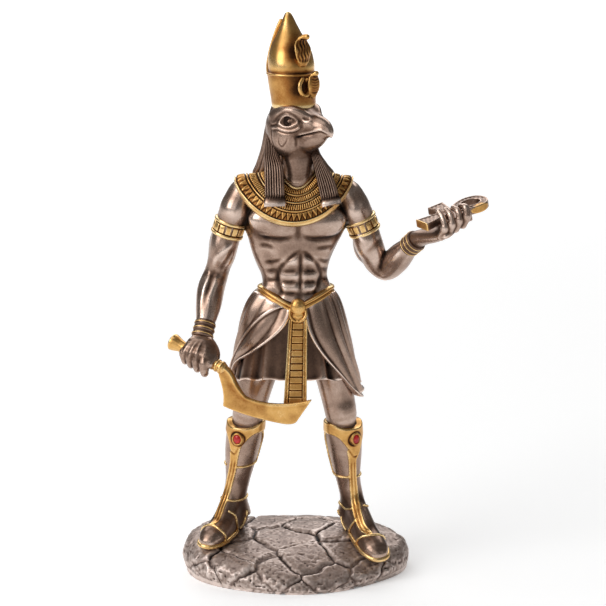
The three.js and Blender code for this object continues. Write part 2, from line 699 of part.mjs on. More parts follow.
/** The bead collar: bands of beads that ring the neck and lie over the chest, shoulders and back. */
function beadCollar() {
  // Rims and sunk bands from the neck out: [share of the width, height over the skin].
  const bands = [
    [0, 1.6],
    [0.15, 2],
    [0.2, 1],
    [0.42, 2],
    [0.48, 1],
    [0.74, 2],
    [0.8, 1.1],
    [1, 1.6],
    [1.01, 0.6],
  ];
  const rings = bands.map(([share, lift]) =>
    Array.from({ length: 20 }, (_, i) => {
      const angle = (2 * Math.PI * i) / 20;
      const front = Math.max(0, -Math.sin(angle));
      const rear = Math.max(0, Math.sin(angle));
      const x = 2.4 - 2.2 * share + (9 + 21.6 * share) * Math.cos(angle);
      const y = (front > 0 ? 9.5 + 8.8 * share ** 0.55 : 9 + 6.4 * share ** 0.6) * Math.sin(angle);
      const slope = share * (12.8 * front ** 1.3 + 15 * rear ** 1.4) + 7 * front ** 2;
      const out = new THREE.Vector3(0.35 * Math.cos(angle), Math.sin(angle) * 0.85, 0.75).normalize();
      return at(x, y, 200 - 4.6 * share ** 1.6 - slope).addScaledVector(out, lift * UNIT);
    }),
  );
  return skin(rings);
}

// The waistline dips to the buckle at the front. Angles round the kilt run from the front to his left.
const waistline = (angle) => 138.2 - 7.6 * Math.max(0, Math.cos(angle)) ** 1.6;

/** Where cloth hangs at an angle and a share of the way down to its hem, pushed out by an amount. */
function onKilt(angle, share, hem, out) {
  const left = angle > 0;
  const drop = (137 - hem) * share;
  const wide = left
    ? 19 + 2.6 * (1 - Math.exp(-drop / 4)) + 0.225 * drop
    : 19.3 + 4.6 * (1 - Math.exp(-drop / 5)) + 0.2 * drop;
  const deep = 13 + (Math.cos(angle) > 0 ? 6.4 : 6) * share ** 0.7;
  const z = THREE.MathUtils.lerp(waistline(angle) - 1, hem, share);
  return at(1.4 + (wide + out) * Math.sin(angle), -(deep + out) * Math.cos(angle), z);
}

/** The kilt: a pleated panel under a wrap whose two front edges run from the buckle to low corners. */
function kilt() {
  const rings = [0, 0.14, 0.34, 0.56, 0.78, 1].map((share) => {
    const edge = 0.24 + 1.0 * share ** 0.9;
    const wrap = Array.from({ length: 23 }, (_, i) => {
      const angle = THREE.MathUtils.lerp(edge, 2 * Math.PI - edge, i / 22);
      const turned = angle > Math.PI ? angle - 2 * Math.PI : angle;
      const fold = 0.9 * share ** 0.7 * Math.cos(8 * turned + 3 * share * Math.sign(turned));
      const corner = turned > 0 ? -9 * bump(turned, 1.24, 0.36) : 3.4 * bump(turned, -1.24, 0.3);
      return onKilt(turned, share, 88.5 + 4.5 * Math.cos(turned) + corner, 1.7 + fold);
    });
    const panel = Array.from({ length: 7 }, (_, i) => {
      const angle = THREE.MathUtils.lerp(-edge, edge, (i + 0.25) / 6.5);
      return onKilt(angle, share, 88.5 + 4.5 * Math.cos(angle), -0.2 + (i % 2 ? 0.7 : -0.2) * share);
    });
    return [...wrap, ...panel];
  });
  const waist = rings[0].map((p) => new THREE.Vector3(p.x * 0.94, p.y * 0.92, p.z + 3 * UNIT));
  const under = rings.at(-1).map((p) => new THREE.Vector3(p.x * 0.9, p.y * 0.86, p.z + 3 * UNIT));
  return skin([waist, ...rings, under]);
}

/** The double belt, which dips at the front to an oval buckle. */
function belt() {
  const rows = [[-3, 0], [-2.5, 1.7], [0, 0.8], [2.5, 1.7], [3, 0]];
  const rings = rows.map(([drop, lift]) =>
    Array.from({ length: 16 }, (_, i) => {
      const angle = (2 * Math.PI * i) / 16;
      const out = 0.08 * drop + lift;
      const deep = 13 + 1.2 * Math.max(0, Math.cos(angle)) + out;
      return at(1.4 + (18.9 + out) * Math.sin(angle), -deep * Math.cos(angle), waistline(angle) - drop);
    }),
  );
  return fuse([skin(rings), egg(at(2.7, -15.4, 131), 4.3, 3, 5.9, 8)]);
}

/** The long sash that hangs from the buckle: two rails with rungs between them, free below the hem. */
function sash() {
  const rungs = 13;
  const rings = Array.from({ length: 2 * rungs + 1 }, (_, i) => {
    const share = i / (2 * rungs);
    const half = (3.8 + 1.1 * share) * UNIT;
    const place = at(2.6 - 1.6 * share, -17 - 7 * share ** 0.8, 126.5 - 46.5 * share);
    const face = i % 2 ? -1.4 : -0.3; // a rung's crest or the hollow between two
    const profile = [[1.25, 1.2], [1.25, -1.5], [0.78, face], [-0.78, face], [-1.25, -1.5], [-1.25, 1.2]];
    return profile.map(([x, y]) => new THREE.Vector3(place.x + x * half, place.y + y * UNIT, place.z));
  });
  return skin(rings);
}

/** One leg: bare thigh and knee above a tall boot with a top plate, two straps and a ridge in front. */
function leg({ hip, thigh, knee, top, calf, shin, ankle, heel, toe, facing }) {
  const strap = (a, b, wide, deep) =>
    cuff(a, b, [[0, wide, deep], [0.5, wide + 1, deep + 1], [1, wide, deep]]);
  const down = knee.clone().lerp(calf, 0.1);
  const stations = [
    [hip, 10.5, 11],
    [thigh, 10, 10.8],
    [knee, 8.4, 8.8],
    [down, 7.9, 8.2],
    [top.clone().addScaledVector(UP, 1.2 * UNIT), 9.6, 9.8],
    [top.clone().lerp(calf, 0.34), 10.2, 10.4],
    [top.clone().lerp(calf, 0.42), 9.6, 9.9],
    [calf, 9.2, 9.9],
    ...strap(calf.clone().lerp(shin, 0.5), calf.clone().lerp(shin, 0.72), 8, 8.6),
    [shin, 7.3, 8],
    ...strap(shin.clone().lerp(ankle, 0.5), shin.clone().lerp(ankle, 0.7), 6.1, 6.8),
    [ankle, 5.9, 6.8],
    [ankle.clone().lerp(heel, 0.6), 5.6, 7],
  ];
  const shaft = limb(stations, ACROSS, 8);
  const length = heel.distanceTo(toe);
  const ahead = toe.clone().sub(heel).normalize();
  const across = ahead.clone().cross(UP).normalize();
  const above = across.clone().cross(ahead);
  const onFoot = (share, tall) =>
    heel.clone().addScaledVector(ahead, share * length).addScaledVector(above, tall * UNIT);
  const sunk = 1.5; // the foot goes this far into the ground and is cut off there
  const section = (share, wide, tall) =>
    oval(onFoot(share, (tall - sunk) / 2), across, above, wide * UNIT, ((tall + sunk) / 2) * UNIT, 8);
  const profile = [
    [0, 3.4, 8],
    [0.06, 5.2, 13],
    [0.25, 5.8, 20],
    [0.42, 6, 17.6],
    [0.58, 6.7, 12.8],
    [0.75, 7.2, 10.6],
    [0.9, 6.4, 8.8],
    [1, 2.8, 5],
  ];
  const foot = skin(profile.map(([share, wide, tall]) => section(share, wide, tall)));
  const sole = [0, 2, 4, 6, 7].map((row) => profile[row]);
  const welt = skin(sole.map(([share, wide]) => section(0.5 + (share - 0.5) * 1.05, wide + 1, 3.2)));
  // The gilt ridge runs from the jewelled top plate down the shin and out along the instep.
  const face = new THREE.Vector3(Math.sin(facing), -Math.cos(facing), 0);
  const onShin = (p, far) => p.clone().addScaledVector(face, far * UNIT);
  const ridge = [
    [onShin(top, 7.6), 4.6, 2.2],
    [onShin(calf, 8.8), 2.6, 2],
    [onShin(shin, 7.2), 2.5, 2],
    [onShin(ankle, 6.2), 2.8, 2],
    [onFoot(0.5, 15), 2.8, 1.6],
    [onFoot(0.66, 11.8), 1.8, 1.4],
  ];
  return [shaft, foot, welt, limb(ridge, across, 5)];
}

/** Where a boot's cabochon sits, and the way it faces. */
function stoneSeat({ top, calf, facing }) {
  const face = new THREE.Vector3(Math.sin(facing), -Math.cos(facing), 0);
  return { centre: top.clone().lerp(calf, 0.48).addScaledVector(face, 10.6 * UNIT), face };
}

/** A cabochon: an egg that stands out of its seat, grown all round and set back by an amount. */
function cabochon({ centre, face }, grow, setBack = 0) {
  const stone = new THREE.SphereGeometry(CABOCHON_RADIUS + grow, 8, 6);
  stone.scale(1, 0.62, 1.25);
  stone.rotateZ(Math.atan2(face.x, -face.y));
  const place = centre.clone().addScaledVector(face, -setBack);
  return solid(stone.translate(place.x, place.y, place.z));
}

/** The one casting of flesh, dress, crown and boots, cut clear of the pieces that are glued to it. */
function falconFigure() {
  const seats = Object.values(LEGS).map(stoneSeat);
  const dress = [headcloth(), doubleCrown(), beadCollar(), kilt(), belt(), sash()];
  const arms = [arm(ARMS.right, -1, 0.77, 1.03), arm(ARMS.left, 1, 0.74, 1), swordHand(), offeringHand()];
  const bezels = seats.map((seat) => cabochon(seat, BEZEL_WALL, BEZEL_WALL / 2));
  const whole = fuse([
    trunk(),
    falconHead(),
    ...arms,
    ...dress,
    ...leg(LEGS.right),
    ...leg(LEGS.left),
    ...bezels,
  ]);
  const room = [
    mound(FIT_GAP),
    khopeshSolid(FIT_GAP),
    ankhSolid(FIT_GAP),
    ...seats.map((seat) => cabochon(seat, FIT_GAP)),
  ];
  return room.reduce((left, cut) => left.subtract(cut), whole);
}

const statuette = new THREE.Group();
statuette.add(
  piece("stone_base", stoneBase(), ROCK),
  piece("falcon_figure", falconFigure(), BRONZE),
  piece("khopesh", khopeshSolid(), GOLD),
  piece("ankh", ankhSolid(), GOLD),
  piece("right_cabochon", cabochon(stoneSeat(LEGS.right), 0), RED),
  piece("left_cabochon", cabochon(stoneSeat(LEGS.left), 0), RED),
);

export default statuette;
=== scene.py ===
# %% [markdown]
# # A falcon-headed sky god in cold-cast bronze
# The real object is a souvenir statuette, 300 mm tall. A sculptor's model is cast in resin filled with
# bronze powder. A dark wash is wiped over it so that it stays in the hollows, the raised parts are
# buffed bright, and the jewellery, crown and weapons are painted with gold.
#
# This lesson rebuilds it piece by piece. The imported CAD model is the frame: it says where everything
# is. Bodies are modelled like clay, as distances on a grid of small cubes. Cloth, bands and beads are
# modelled as surfaces worked out from two numbers, because their patterns are regular.

# %% Load the frame
import math

import bpy
import numpy as np
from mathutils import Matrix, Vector


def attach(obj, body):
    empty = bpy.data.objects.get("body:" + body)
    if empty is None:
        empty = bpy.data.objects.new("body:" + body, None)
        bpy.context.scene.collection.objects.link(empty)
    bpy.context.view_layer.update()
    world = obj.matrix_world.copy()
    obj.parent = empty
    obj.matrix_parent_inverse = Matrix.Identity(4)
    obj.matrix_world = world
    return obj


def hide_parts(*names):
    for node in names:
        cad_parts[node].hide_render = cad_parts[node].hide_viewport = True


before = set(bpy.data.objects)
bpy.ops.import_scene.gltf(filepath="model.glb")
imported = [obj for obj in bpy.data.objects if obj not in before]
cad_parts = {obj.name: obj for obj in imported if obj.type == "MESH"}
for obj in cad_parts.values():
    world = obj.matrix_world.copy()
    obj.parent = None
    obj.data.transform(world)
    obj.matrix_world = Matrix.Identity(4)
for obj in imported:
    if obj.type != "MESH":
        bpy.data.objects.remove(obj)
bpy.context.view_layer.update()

# %% [markdown]
# ## Places on the figure
# The lesson works in millimetres. The figure's own heights start at its soles, 16 mm above the table,
# so one small function adds that. Meshes are turned into metres only at the end.

# %% Places
SOLE = 16.0  # from the table to the soles, mm


def at(x, y, z):
    """A place on the figure: mm to his left, to the back and up from the soles."""
    return np.array([x, y, z + SOLE], float)


def mix(a, b, share):
    """The place at a share of the way from a to b."""
    return a + (b - a) * share


def unit(v):
    """A direction one long."""
    return np.asarray(v, float) / np.linalg.norm(v)


def ease(x, low, high):
    """From 0 to 1 with soft ends while x goes from low to high: 3t^2 - 2t^3."""
    t = np.clip((x - low) / (high - low), 0, 1)
    return t * t * (3 - 2 * t)


def bump(x, middle, width):
    """A soft bump of height 1: e to the minus ((x - middle) / width) squared."""
    return np.exp(-(((x - middle) / width) ** 2))


# %% [markdown]
# ## Smooth curves through a few values
# A profile is given by a few rows, as a turner marks a template. Straight lines between them would
# show as facets, so each stretch is a cubic. For a profile the slopes are chosen so that the curve never
# swings past its rows. For a path in space it may swing, which gives rounder turns.

# %% Curves
def curve(knots, rows, places, steady=True):
    """Values at `places` on cubics through `rows` at `knots`. The slope at a knot is the harmonic mean
    of the slopes on its two sides, or flat where they turn (steady), or else their weighted mean."""
    knots = np.asarray(knots, float)
    rows = np.asarray(rows, float).reshape(len(knots), -1)
    step = np.diff(knots)[:, None]
    rise = np.diff(rows, axis=0) / step
    slope = np.vstack([rise[:1], rise[-1:]]) if len(knots) == 2 else np.empty_like(rows)
    if len(knots) > 2:
        before, after = rise[:-1], rise[1:]
        if steady:
            total = before + after
            same = before * after > 0
            slope[1:-1] = np.where(same, 2 * before * after / np.where(same, total, 1), 0)
        else:
            slope[1:-1] = (before * step[1:] + after * step[:-1]) / (step[1:] + step[:-1])
        slope[0], slope[-1] = rise[0], rise[-1]
    i = np.clip(np.searchsorted(knots, places, side="right") - 1, 0, len(knots) - 2)
    t = np.clip((places - knots[i]) / step[i, 0], 0, 1)[:, None]
    low, high = rows[i], rows[i + 1]
    s0, s1 = slope[i] * step[i], slope[i + 1] * step[i]
    return (
        low * (1 + 2 * t) * (1 - t) ** 2
        + high * t * t * (3 - 2 * t)
        + s0 * t * (1 - t) ** 2
        - s1 * t * t * (1 - t)
    )


def path(points, spacing):
    """Rows about `spacing` mm apart on a smooth path; columns after x, y, z are carried along."""
    rows = np.asarray(points, float)
    far = np.linalg.norm(np.diff(rows[:, :3], axis=0), axis=1)
    knots = np.concatenate([[0], np.cumsum(far)])
    count = max(2, int(math.ceil(knots[-1] / spacing)) + 1)
    return curve(knots, rows, np.linspace(0, knots[-1], count), steady=False)


# %% [markdown]
# ## From numbers to a mesh
# Every piece ends as arrays of points and faces. Blender takes them in one go with foreach_set. The
# volume tells which way the faces look, so a shell that is inside out is simply reversed.
#
# The dark wash needs to know where the hollows are. Each point is compared with the mean of its
# surroundings: where it lies deeper, wash stays, and where it stands out, the cloth has rubbed it bright.

# %% Meshes
def edges_of(faces):
    """All pairs of neighbouring points, both ways."""
    starts = np.concatenate([f.ravel() for f in faces])
    ends = np.concatenate([np.roll(f, -1, axis=1).ravel() for f in faces])
    return np.concatenate([starts, ends]), np.concatenate([ends, starts])


def normals_of(points, faces):
    """Point normals: the sum of the cross products of each face's diagonals or edges."""
    total = np.zeros_like(points)
    for f in faces:
        a, b, c = points[f[:, 0]], points[f[:, 1]], points[f[:, 2]]
        d = points[f[:, 3]] if f.shape[1] == 4 else a
        normal = np.cross(c - a, d - b)
        for corner in f.T:
            for axis in range(3):
                total[:, axis] += np.bincount(corner, normal[:, axis], len(points))
    return total / np.maximum(np.linalg.norm(total, axis=1, keepdims=True), 1e-12)


def averaged(points, faces, steps):
    """Points drawn towards the mean of their neighbours, once for each share in `steps`."""
    a, b = edges_of(faces)
    count = np.maximum(np.bincount(a, minlength=len(points)), 1)[:, None]
    soft = points.copy()
    for step in steps:
        mean = np.stack([np.bincount(a, soft[b, k], len(points)) for k in range(3)], axis=1) / count
        soft += step * (mean - soft)
    return soft


def hollows(points, faces, rounds, broad=0):
    """How far, mm, each point lies under its surroundings: the way from a point to its averaged
    place, along its normal. Positive is a hollow, negative an edge. `broad` more rounds add a share
    of the larger forms' hollows, such as an armpit's."""
    normals = normals_of(points, faces)
    near = averaged(points, faces, [0.5] * rounds)
    depth = np.einsum("ij,ij->i", near - points, normals)
    if broad:
        wide = np.einsum("ij,ij->i", averaged(near, faces, [0.5] * broad) - near, normals)
        depth += 0.3 * np.clip(wide - np.median(wide), -1, 1)
    return depth


def volume_of(points, faces):
    """A closed mesh's volume: the sum of a . (b x c) / 6 over its triangles."""
    total = 0.0
    for f in faces:
        for k in range(1, f.shape[1] - 1):
            a, b, c = points[f[:, 0]], points[f[:, k]], points[f[:, k + 1]]
            total += np.einsum("ij,ij->", a, np.cross(b, c)) / 6
    return total


def make_piece(name, parts, material, slot, *nodes, rounds=20, broad=0, wash=1.0, shade=0.0, sharp=None):
    """One Blender object from [(points in mm, list of face arrays), ...], placed by its mesh. `wash`
    deepens the hollows' colour, and `shade` darkens all of it, or each point, as more depth would: a darker
    tone on some pieces, painted shade on others. Both go into the one attribute that the finish reads."""
    shift, all_points, all_faces = 0, [], []
    for points, faces in parts:
        if volume_of(points, faces) < 0:
            faces = [f[:, ::-1] for f in faces]
        all_points.append(points)
        all_faces += [f + shift for f in faces]
        shift += len(points)
    points = np.concatenate(all_points)
    corners = np.concatenate([f.ravel() for f in all_faces])
    sizes = np.concatenate([np.full(len(f), f.shape[1]) for f in all_faces])
    mesh = bpy.data.meshes.new(name)
    mesh.vertices.add(len(points))
    mesh.vertices.foreach_set("co", (points * 0.001).astype(np.float32).ravel())
    mesh.loops.add(len(corners))
    mesh.loops.foreach_set("vertex_index", corners.astype(np.int32))
    mesh.polygons.add(len(sizes))
    mesh.polygons.foreach_set("loop_start", (np.cumsum(sizes) - sizes).astype(np.int32))
    mesh.update(calc_edges=True)
    mesh.shade_smooth()
    if sharp:
        mesh.set_sharp_from_angle(angle=math.radians(sharp))
    wash_and_shade = hollows(points, all_faces, rounds, broad)
    wash_and_shade = shade + np.where(wash_and_shade > 0, wash * wash_and_shade, wash_and_shade)
    mesh.attributes.new("wash_and_shade", "FLOAT", "POINT").data.foreach_set("value", wash_and_shade.astype(np.float32))
    mesh.materials.append(material)
    piece = bpy.data.objects.new(name, mesh)
    bpy.context.scene.collection.objects.link(piece)
    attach(piece, "root")
    if nodes:
        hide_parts(*nodes)
    triangles = int((sizes - 2).sum())
    print(f"{name}: {triangles} triangles, {points.min(0).round(1)} to {points.max(0).round(1)} mm")


def tube(rings, closed=False):
    """A closed skin over a grid of rings (rings, points round, 3): neighbours are joined by quads,
    and each end closes on its ring's middle, or on the first ring where the tube itself is closed."""
    n, m = rings.shape[:2]
    points = rings.reshape(-1, 3)
    i, j = np.meshgrid(np.arange(n if closed else n - 1), np.arange(m), indexing="ij")
    nxt, side = (i + 1) % n, (j + 1) % m
    quads = np.stack([i * m + j, i * m + side, nxt * m + side, nxt * m + j], -1).reshape(-1, 4)
    if closed:
        return points, [quads]
    points = np.vstack([points, rings[0].mean(0), rings[-1].mean(0)])
    around = np.arange(m)
    start = np.stack([np.full(m, n * m), (around + 1) % m, around], -1)
    last = (n - 1) * m
    end = np.stack([np.full(m, n * m + 1), last + around, last + (around + 1) % m], -1)
    return points, [quads, start, end]


def sweep(rows, side, section, closed=False):
    """Rings square to a path: rows of [x, y, z, width, height], and a section of (across, up) pairs
    that is stretched by width and height. `side` is the way that the width points."""
    rows = np.asarray(rows, float)
    points = rows[:, :3]
    if closed:
        ahead = np.roll(points, -1, 0) - np.roll(points, 1, 0)
    else:
        ahead = np.gradient(points, axis=0)
    ahead /= np.linalg.norm(ahead, axis=1, keepdims=True)
    side = np.broadcast_to(np.asarray(side, float), points.shape)
    u = side - ahead * np.einsum("ij,ij->i", side, ahead)[:, None]
    u /= np.linalg.norm(u, axis=1, keepdims=True)
    v = np.cross(ahead, u)
    section = np.broadcast_to(section, (len(rows), *np.shape(section)[-2:]))
    wide = section[..., :1] * rows[:, None, 3:4] * u[:, None]
    tall = section[..., 1:] * rows[:, None, 4:5] * v[:, None]
    return points[:, None] + wide + tall


def rounded(count, power=2.0):
    """A closed section between circle and box: cos and sin, each to the power 2 / power, with its
    points evenly apart."""
    angle = np.linspace(0, 2 * np.pi, 4001)
    c, s = np.cos(angle), np.sin(angle)
    line = np.stack([np.sign(c) * abs(c) ** (2 / power), np.sign(s) * abs(s) ** (2 / power)], -1)
    far = np.concatenate([[0], np.cumsum(np.linalg.norm(np.diff(line, axis=0), axis=1))])
    places = np.linspace(0, far[-1], count, endpoint=False)
    return np.stack([np.interp(places, far, line[:, k]) for k in (0, 1)], -1)


# %% [markdown]
# ## Digital clay
# Muscles, feathers and fists have no regular grid. A sculptor presses lumps of clay together and smooths
# the joints, and then cuts lines with a tool. Here each lump is a distance to its surface, kept on
# a grid of small cubes. Two lumps are joined with a smooth minimum, which fills the joint as a fingertip
# does. A tool stroke adds a soft furrow or ridge along a line.
#
# Blender's metaballs and remesh could do it too, but they can't carve a line of a chosen depth.

# %% Clay
class Clay:
    """Distances, mm, on a grid of cubes. `place` and `axes` turn the block's own coordinates into
    the figure's, so that a head that looks aside can be modelled straight."""

    def __init__(self, low, high, cell, place=(0, 0, 0), axes=np.eye(3)):
        """An empty block from low to high: 9 mm from any surface everywhere."""
        self.low, self.cell = np.asarray(low, float), cell
        self.place, self.axes = np.asarray(place, float), np.asarray(axes, float)
        counts = np.ceil((np.asarray(high) - self.low) / cell).astype(int) + 1
        self.field = np.full(counts, 9.0, np.float32)

    def window(self, low, high):
        """The part of the grid inside a box, and its coordinates along each axis."""
        first = np.floor((np.asarray(low) - self.low) / self.cell).astype(int)
        last = np.ceil((np.asarray(high) - self.low) / self.cell).astype(int) + 1
        first, last = np.clip(first, 0, self.field.shape), np.clip(last, 0, self.field.shape)
        axes = [self.low[k] + self.cell * np.arange(first[k], last[k]) for k in range(3)]
        grids = np.meshgrid(*[a.astype(np.float32) for a in axes], indexing="ij", sparse=True)
        return tuple(slice(a, b) for a, b in zip(first, last)), grids

    def blank(self, line, reach, value):
        """The part of the grid within `reach` of a line, a block of that size filled with a value,
        and a function that finds a smaller window in it."""
        part, _ = self.window(line.min(0) - reach, line.max(0) + reach)
        block = np.full([s.stop - s.start for s in part], value, np.float32)
        return part, block, lambda sub: tuple(
            slice(s.start - p.start, s.stop - p.start) for s, p in zip(sub, part)
        )

    def join(self, part, distance, blend):
        """Smooth minimum: the lower distance, less h^2 b / 4 with h = 1 - |difference| / b."""
        old = self.field[part]
        near = np.maximum(1 - np.abs(old - distance) / blend, 0)
        self.field[part] = np.minimum(old, distance) - near * near * (blend / 4)

    def cut(self, part, distance, blend=0.5):
        """Takes away what lies inside the other form: the same, upside down."""
        old = self.field[part]
        near = np.maximum(1 - np.abs(old + distance) / blend, 0)
        self.field[part] = np.maximum(old, -distance) + near * near * (blend / 4)

    def form(self, shape, low, high, blend, carve=False):
        """Any shape that is 0 on its surface: its distance is its value over its steepness."""
        part, (x, y, z) = self.window(low, high)
        value = np.broadcast_to(shape(x, y, z), [s.stop - s.start for s in part])
        slopes = np.gradient(value, self.cell)
        steep = np.sqrt(sum(s * s for s in slopes))
        distance = np.clip(value / np.maximum(steep, 1e-3), -9, 9).astype(np.float32)
        (self.cut if carve else self.join)(part, distance, blend)

    def limb(self, stations, side=(1, 0, 0), blend=2.0, spacing=1.8):
        """A limb along a smooth path of rows [x, y, z, half width, half depth], ovals square to it.
        The distance to an oval is k0 (k0 - 1) / k1, with k0 and k1 the lengths of the offset
        divided once and twice by the oval's half sizes."""
        rows = path(stations, spacing)
        reach = rows[:, 3:].max() + blend + 1.5
        part, block, spot = self.blank(rows[:, :3], reach, 9.0)
        for a, b in zip(rows[:-1], rows[1:]):
            here = max(a[3:].max(), b[3:].max()) + blend + 1.5
            sub, (x, y, z) = self.window(np.minimum(a, b)[:3] - here, np.maximum(a, b)[:3] + here)
            v = b[:3] - a[:3]
            long = max(float(np.linalg.norm(v)), 1e-6)
            ahead = v / long
            u = unit(np.asarray(side, float) - ahead * np.dot(side, ahead))
            dx, dy, dz = x - a[0], y - a[1], z - a[2]
            t = np.clip((dx * v[0] + dy * v[1] + dz * v[2]) / long**2, 0, 1)
            dx, dy, dz = dx - t * v[0], dy - t * v[1], dz - t * v[2]
            wide, deep = a[3] + (b[3] - a[3]) * t, a[4] + (b[4] - a[4]) * t
            across = (dx * u[0] + dy * u[1] + dz * u[2]) ** 2
            rest = np.maximum(dx * dx + dy * dy + dz * dz - across, 0)
            k0 = np.sqrt(across / wide**2 + rest / deep**2)
            k1 = np.sqrt(across / wide**4 + rest / deep**4)
            distance = k0 * (k0 - 1) / np.maximum(k1, 1e-4)
            block[spot(sub)] = np.minimum(block[spot(sub)], distance)
        self.join(part, block, blend)

    def egg(self, centre, sizes, axes=np.eye(3), blend=1.0, carve=False):
        """An ellipsoid with half sizes along three unit directions."""
        reach = max(sizes) + blend + 1.5
        centre = np.asarray(centre, float)
        part, (x, y, z) = self.window(centre - reach, centre + reach)
        ways = np.asarray(axes, float)
        local = [(x - centre[0]) * w[0] + (y - centre[1]) * w[1] + (z - centre[2]) * w[2] for w in ways]
        k0 = np.sqrt(sum((v / s) ** 2 for v, s in zip(local, sizes)))
        k1 = np.sqrt(sum((v / s**2) ** 2 for v, s in zip(local, sizes)))
        distance = (k0 * (k0 - 1) / np.maximum(k1, 1e-4)).astype(np.float32)
        (self.cut if carve else self.join)(part, distance, blend)

    def read(self, points):
        """The distances at points between the grid's corners, weighed by nearness to each corner."""
        spot = (np.asarray(points, float) - self.low) / self.cell
        base = np.clip(np.floor(spot).astype(int), 0, np.array(self.field.shape) - 2)
        f = spot - base
        total = 0
        for i, j, k in np.ndindex(2, 2, 2):
            weight = abs(1 - i - f[:, 0]) * abs(1 - j - f[:, 1]) * abs(1 - k - f[:, 2])
            total = total + weight * self.field[base[:, 0] + i, base[:, 1] + j, base[:, 2] + k]
        return total

    def slope(self, points):
        """Which way is out at some points, by differences over a little more than half a cube."""
        step = 0.6 * self.cell
        ways = [self.read(points + step * e) - self.read(points - step * e) for e in np.eye(3)]
        out = np.stack(ways, -1)
        return out / np.maximum(np.linalg.norm(out, axis=1, keepdims=True), 1e-9)

    def settle(self, points, lift=0.0):
        """Moves points onto the surface, or `lift` above it, along the way out."""
        points = np.array(points, float)
        for _ in range(8):
            move = np.clip(lift - self.read(points), -1.5, 1.5)[:, None]
            points[:, :3] = points[:, :3] + 0.8 * move * self.slope(points)
        return points

    def stroke(self, points, width, depth, settle=True, taper=0.35):
        """A furrow (depth above 0) or ridge (below 0) along a line. It adds depth times
        e to the minus (distance to the line / width) squared; both ends fade over `taper`."""
        points = np.asarray(points, float)
        if len(points) > 2:
            line = path(points, max(0.8, 0.8 * width))
        else:
            line = mix(points[0], points[1], np.linspace(0, 1, 5)[:, None])
        if settle:
            line = self.settle(line)
        share = np.linspace(0, 1, len(line))
        force = ease(share, -0.001, taper) * ease(1 - share, -0.001, taper) if taper else share * 0 + 1
        reach = 2.3 * width
        part, near, spot = self.blank(line, reach, 0.0)
        for a, b, fa, fb in zip(line[:-1], line[1:], force[:-1], force[1:]):
            sub, (x, y, z) = self.window(np.minimum(a, b) - reach, np.maximum(a, b) + reach)
            v = b - a
            dx, dy, dz = x - a[0], y - a[1], z - a[2]
            t = np.clip((dx * v[0] + dy * v[1] + dz * v[2]) / max(v @ v, 1e-9), 0, 1)
            off = (dx - t * v[0]) ** 2 + (dy - t * v[1]) ** 2 + (dz - t * v[2]) ** 2
            effect = (fa + (fb - fa) * t) * np.exp(-off / width**2)
            near[spot(sub)] = np.maximum(near[spot(sub)], effect)
        self.field[part] += depth * near

    def skin(self):
        """Surface nets: each cube that the surface crosses gets one point, the mean of the crossings
        on its edges, and each crossed grid edge becomes a quad between its four cubes. At the end
        the cubes' own steps are smoothed out, with a push back so that nothing shrinks."""
        f = self.field
        for axis in range(3):
            for end in (0, -1):
                face = [slice(None)] * 3
                face[axis] = end
                f[tuple(face)] = np.maximum(f[tuple(face)], 0.2)
        inside = f < 0
        size = np.array(f.shape) - 1
        count = np.zeros(size, np.uint8)
        for i, j, k in np.ndindex(2, 2, 2):
            count += inside[i : i + size[0], j : j + size[1], k : k + size[2]]
        cubes = np.argwhere((count > 0) & (count < 8))
        index = np.full(size, -1, np.int64)
        index[tuple(cubes.T)] = np.arange(len(cubes))
        total, hits = np.zeros((len(cubes), 3)), np.zeros((len(cubes), 1))
        for i, j, k in np.ndindex(2, 2, 2):
            for axis in range(3):
                if (i, j, k)[axis]:
                    continue
                low = cubes + (i, j, k)
                high = low + np.eye(3, dtype=int)[axis]
                fa, fb = f[tuple(low.T)], f[tuple(high.T)]
                crossed = (fa < 0) != (fb < 0)
                t = np.where(crossed, fa / np.where(crossed, fa - fb, 1), 0)
                total += crossed[:, None] * (low + t[:, None] * np.eye(3)[axis])
                hits += crossed[:, None]
        points = self.low + self.cell * total / hits
        faces = []
        for axis in range(3):
            u, v = (axis + 1) % 3, (axis + 2) % 3
            first = [slice(1, None)] * 3
            first[axis] = slice(None)
            start = inside[tuple(slice(None, -1) if k == axis else slice(None) for k in range(3))]
            stop = inside[tuple(slice(1, None) if k == axis else slice(None) for k in range(3))]
            spots = np.argwhere(start != stop)
            spots = spots[(spots[:, u] > 0) & (spots[:, v] > 0)]
            outward = start[tuple(spots.T)]
            eu, ev = np.eye(3, dtype=int)[u], np.eye(3, dtype=int)[v]
            ring = [index[tuple((spots - back).T)] for back in (eu + ev, ev, eu * 0, eu)]
            quads = np.stack(ring, -1)
            faces.append(np.where(outward[:, None], quads, quads[:, ::-1]))
        quads = np.concatenate(faces)
        points = averaged(points, [quads], [0.5, -0.52] * 4)
        return self.place + points @ self.axes, [quads]


# %% [markdown]
# ## Camera and light
# The photograph looks straight at the front from about 1.1 m, 12 degrees above level. The studio has a
# plain pale floor. The main soft light stands at the left, a weaker one in front and a faint one at
# the right. One from above fills the shoulders, and one behind whitens the floor.

# %% Camera
scene = bpy.context.scene
AIM = at(5.17, 0, 130.5) * 0.001  # metres, a little to his left of the middle
TILT, DISTANCE = math.radians(12), 1.1  # above level; metres from what it looks at
camera = bpy.data.objects.new("camera", bpy.data.cameras.new("camera"))
camera.data.lens, camera.data.sensor_width = 123.2, 36
camera.location = AIM + DISTANCE * np.array([0, -math.cos(TILT), math.sin(TILT)])
camera.rotation_euler = (math.pi / 2 - TILT, 0, 0)
camera.data.clip_end = 100
scene.collection.objects.link(camera)
scene.camera = camera
scene.view_settings.view_transform = "Standard"
print("camera at", [round(v, 3) for v in camera.location], "metres")


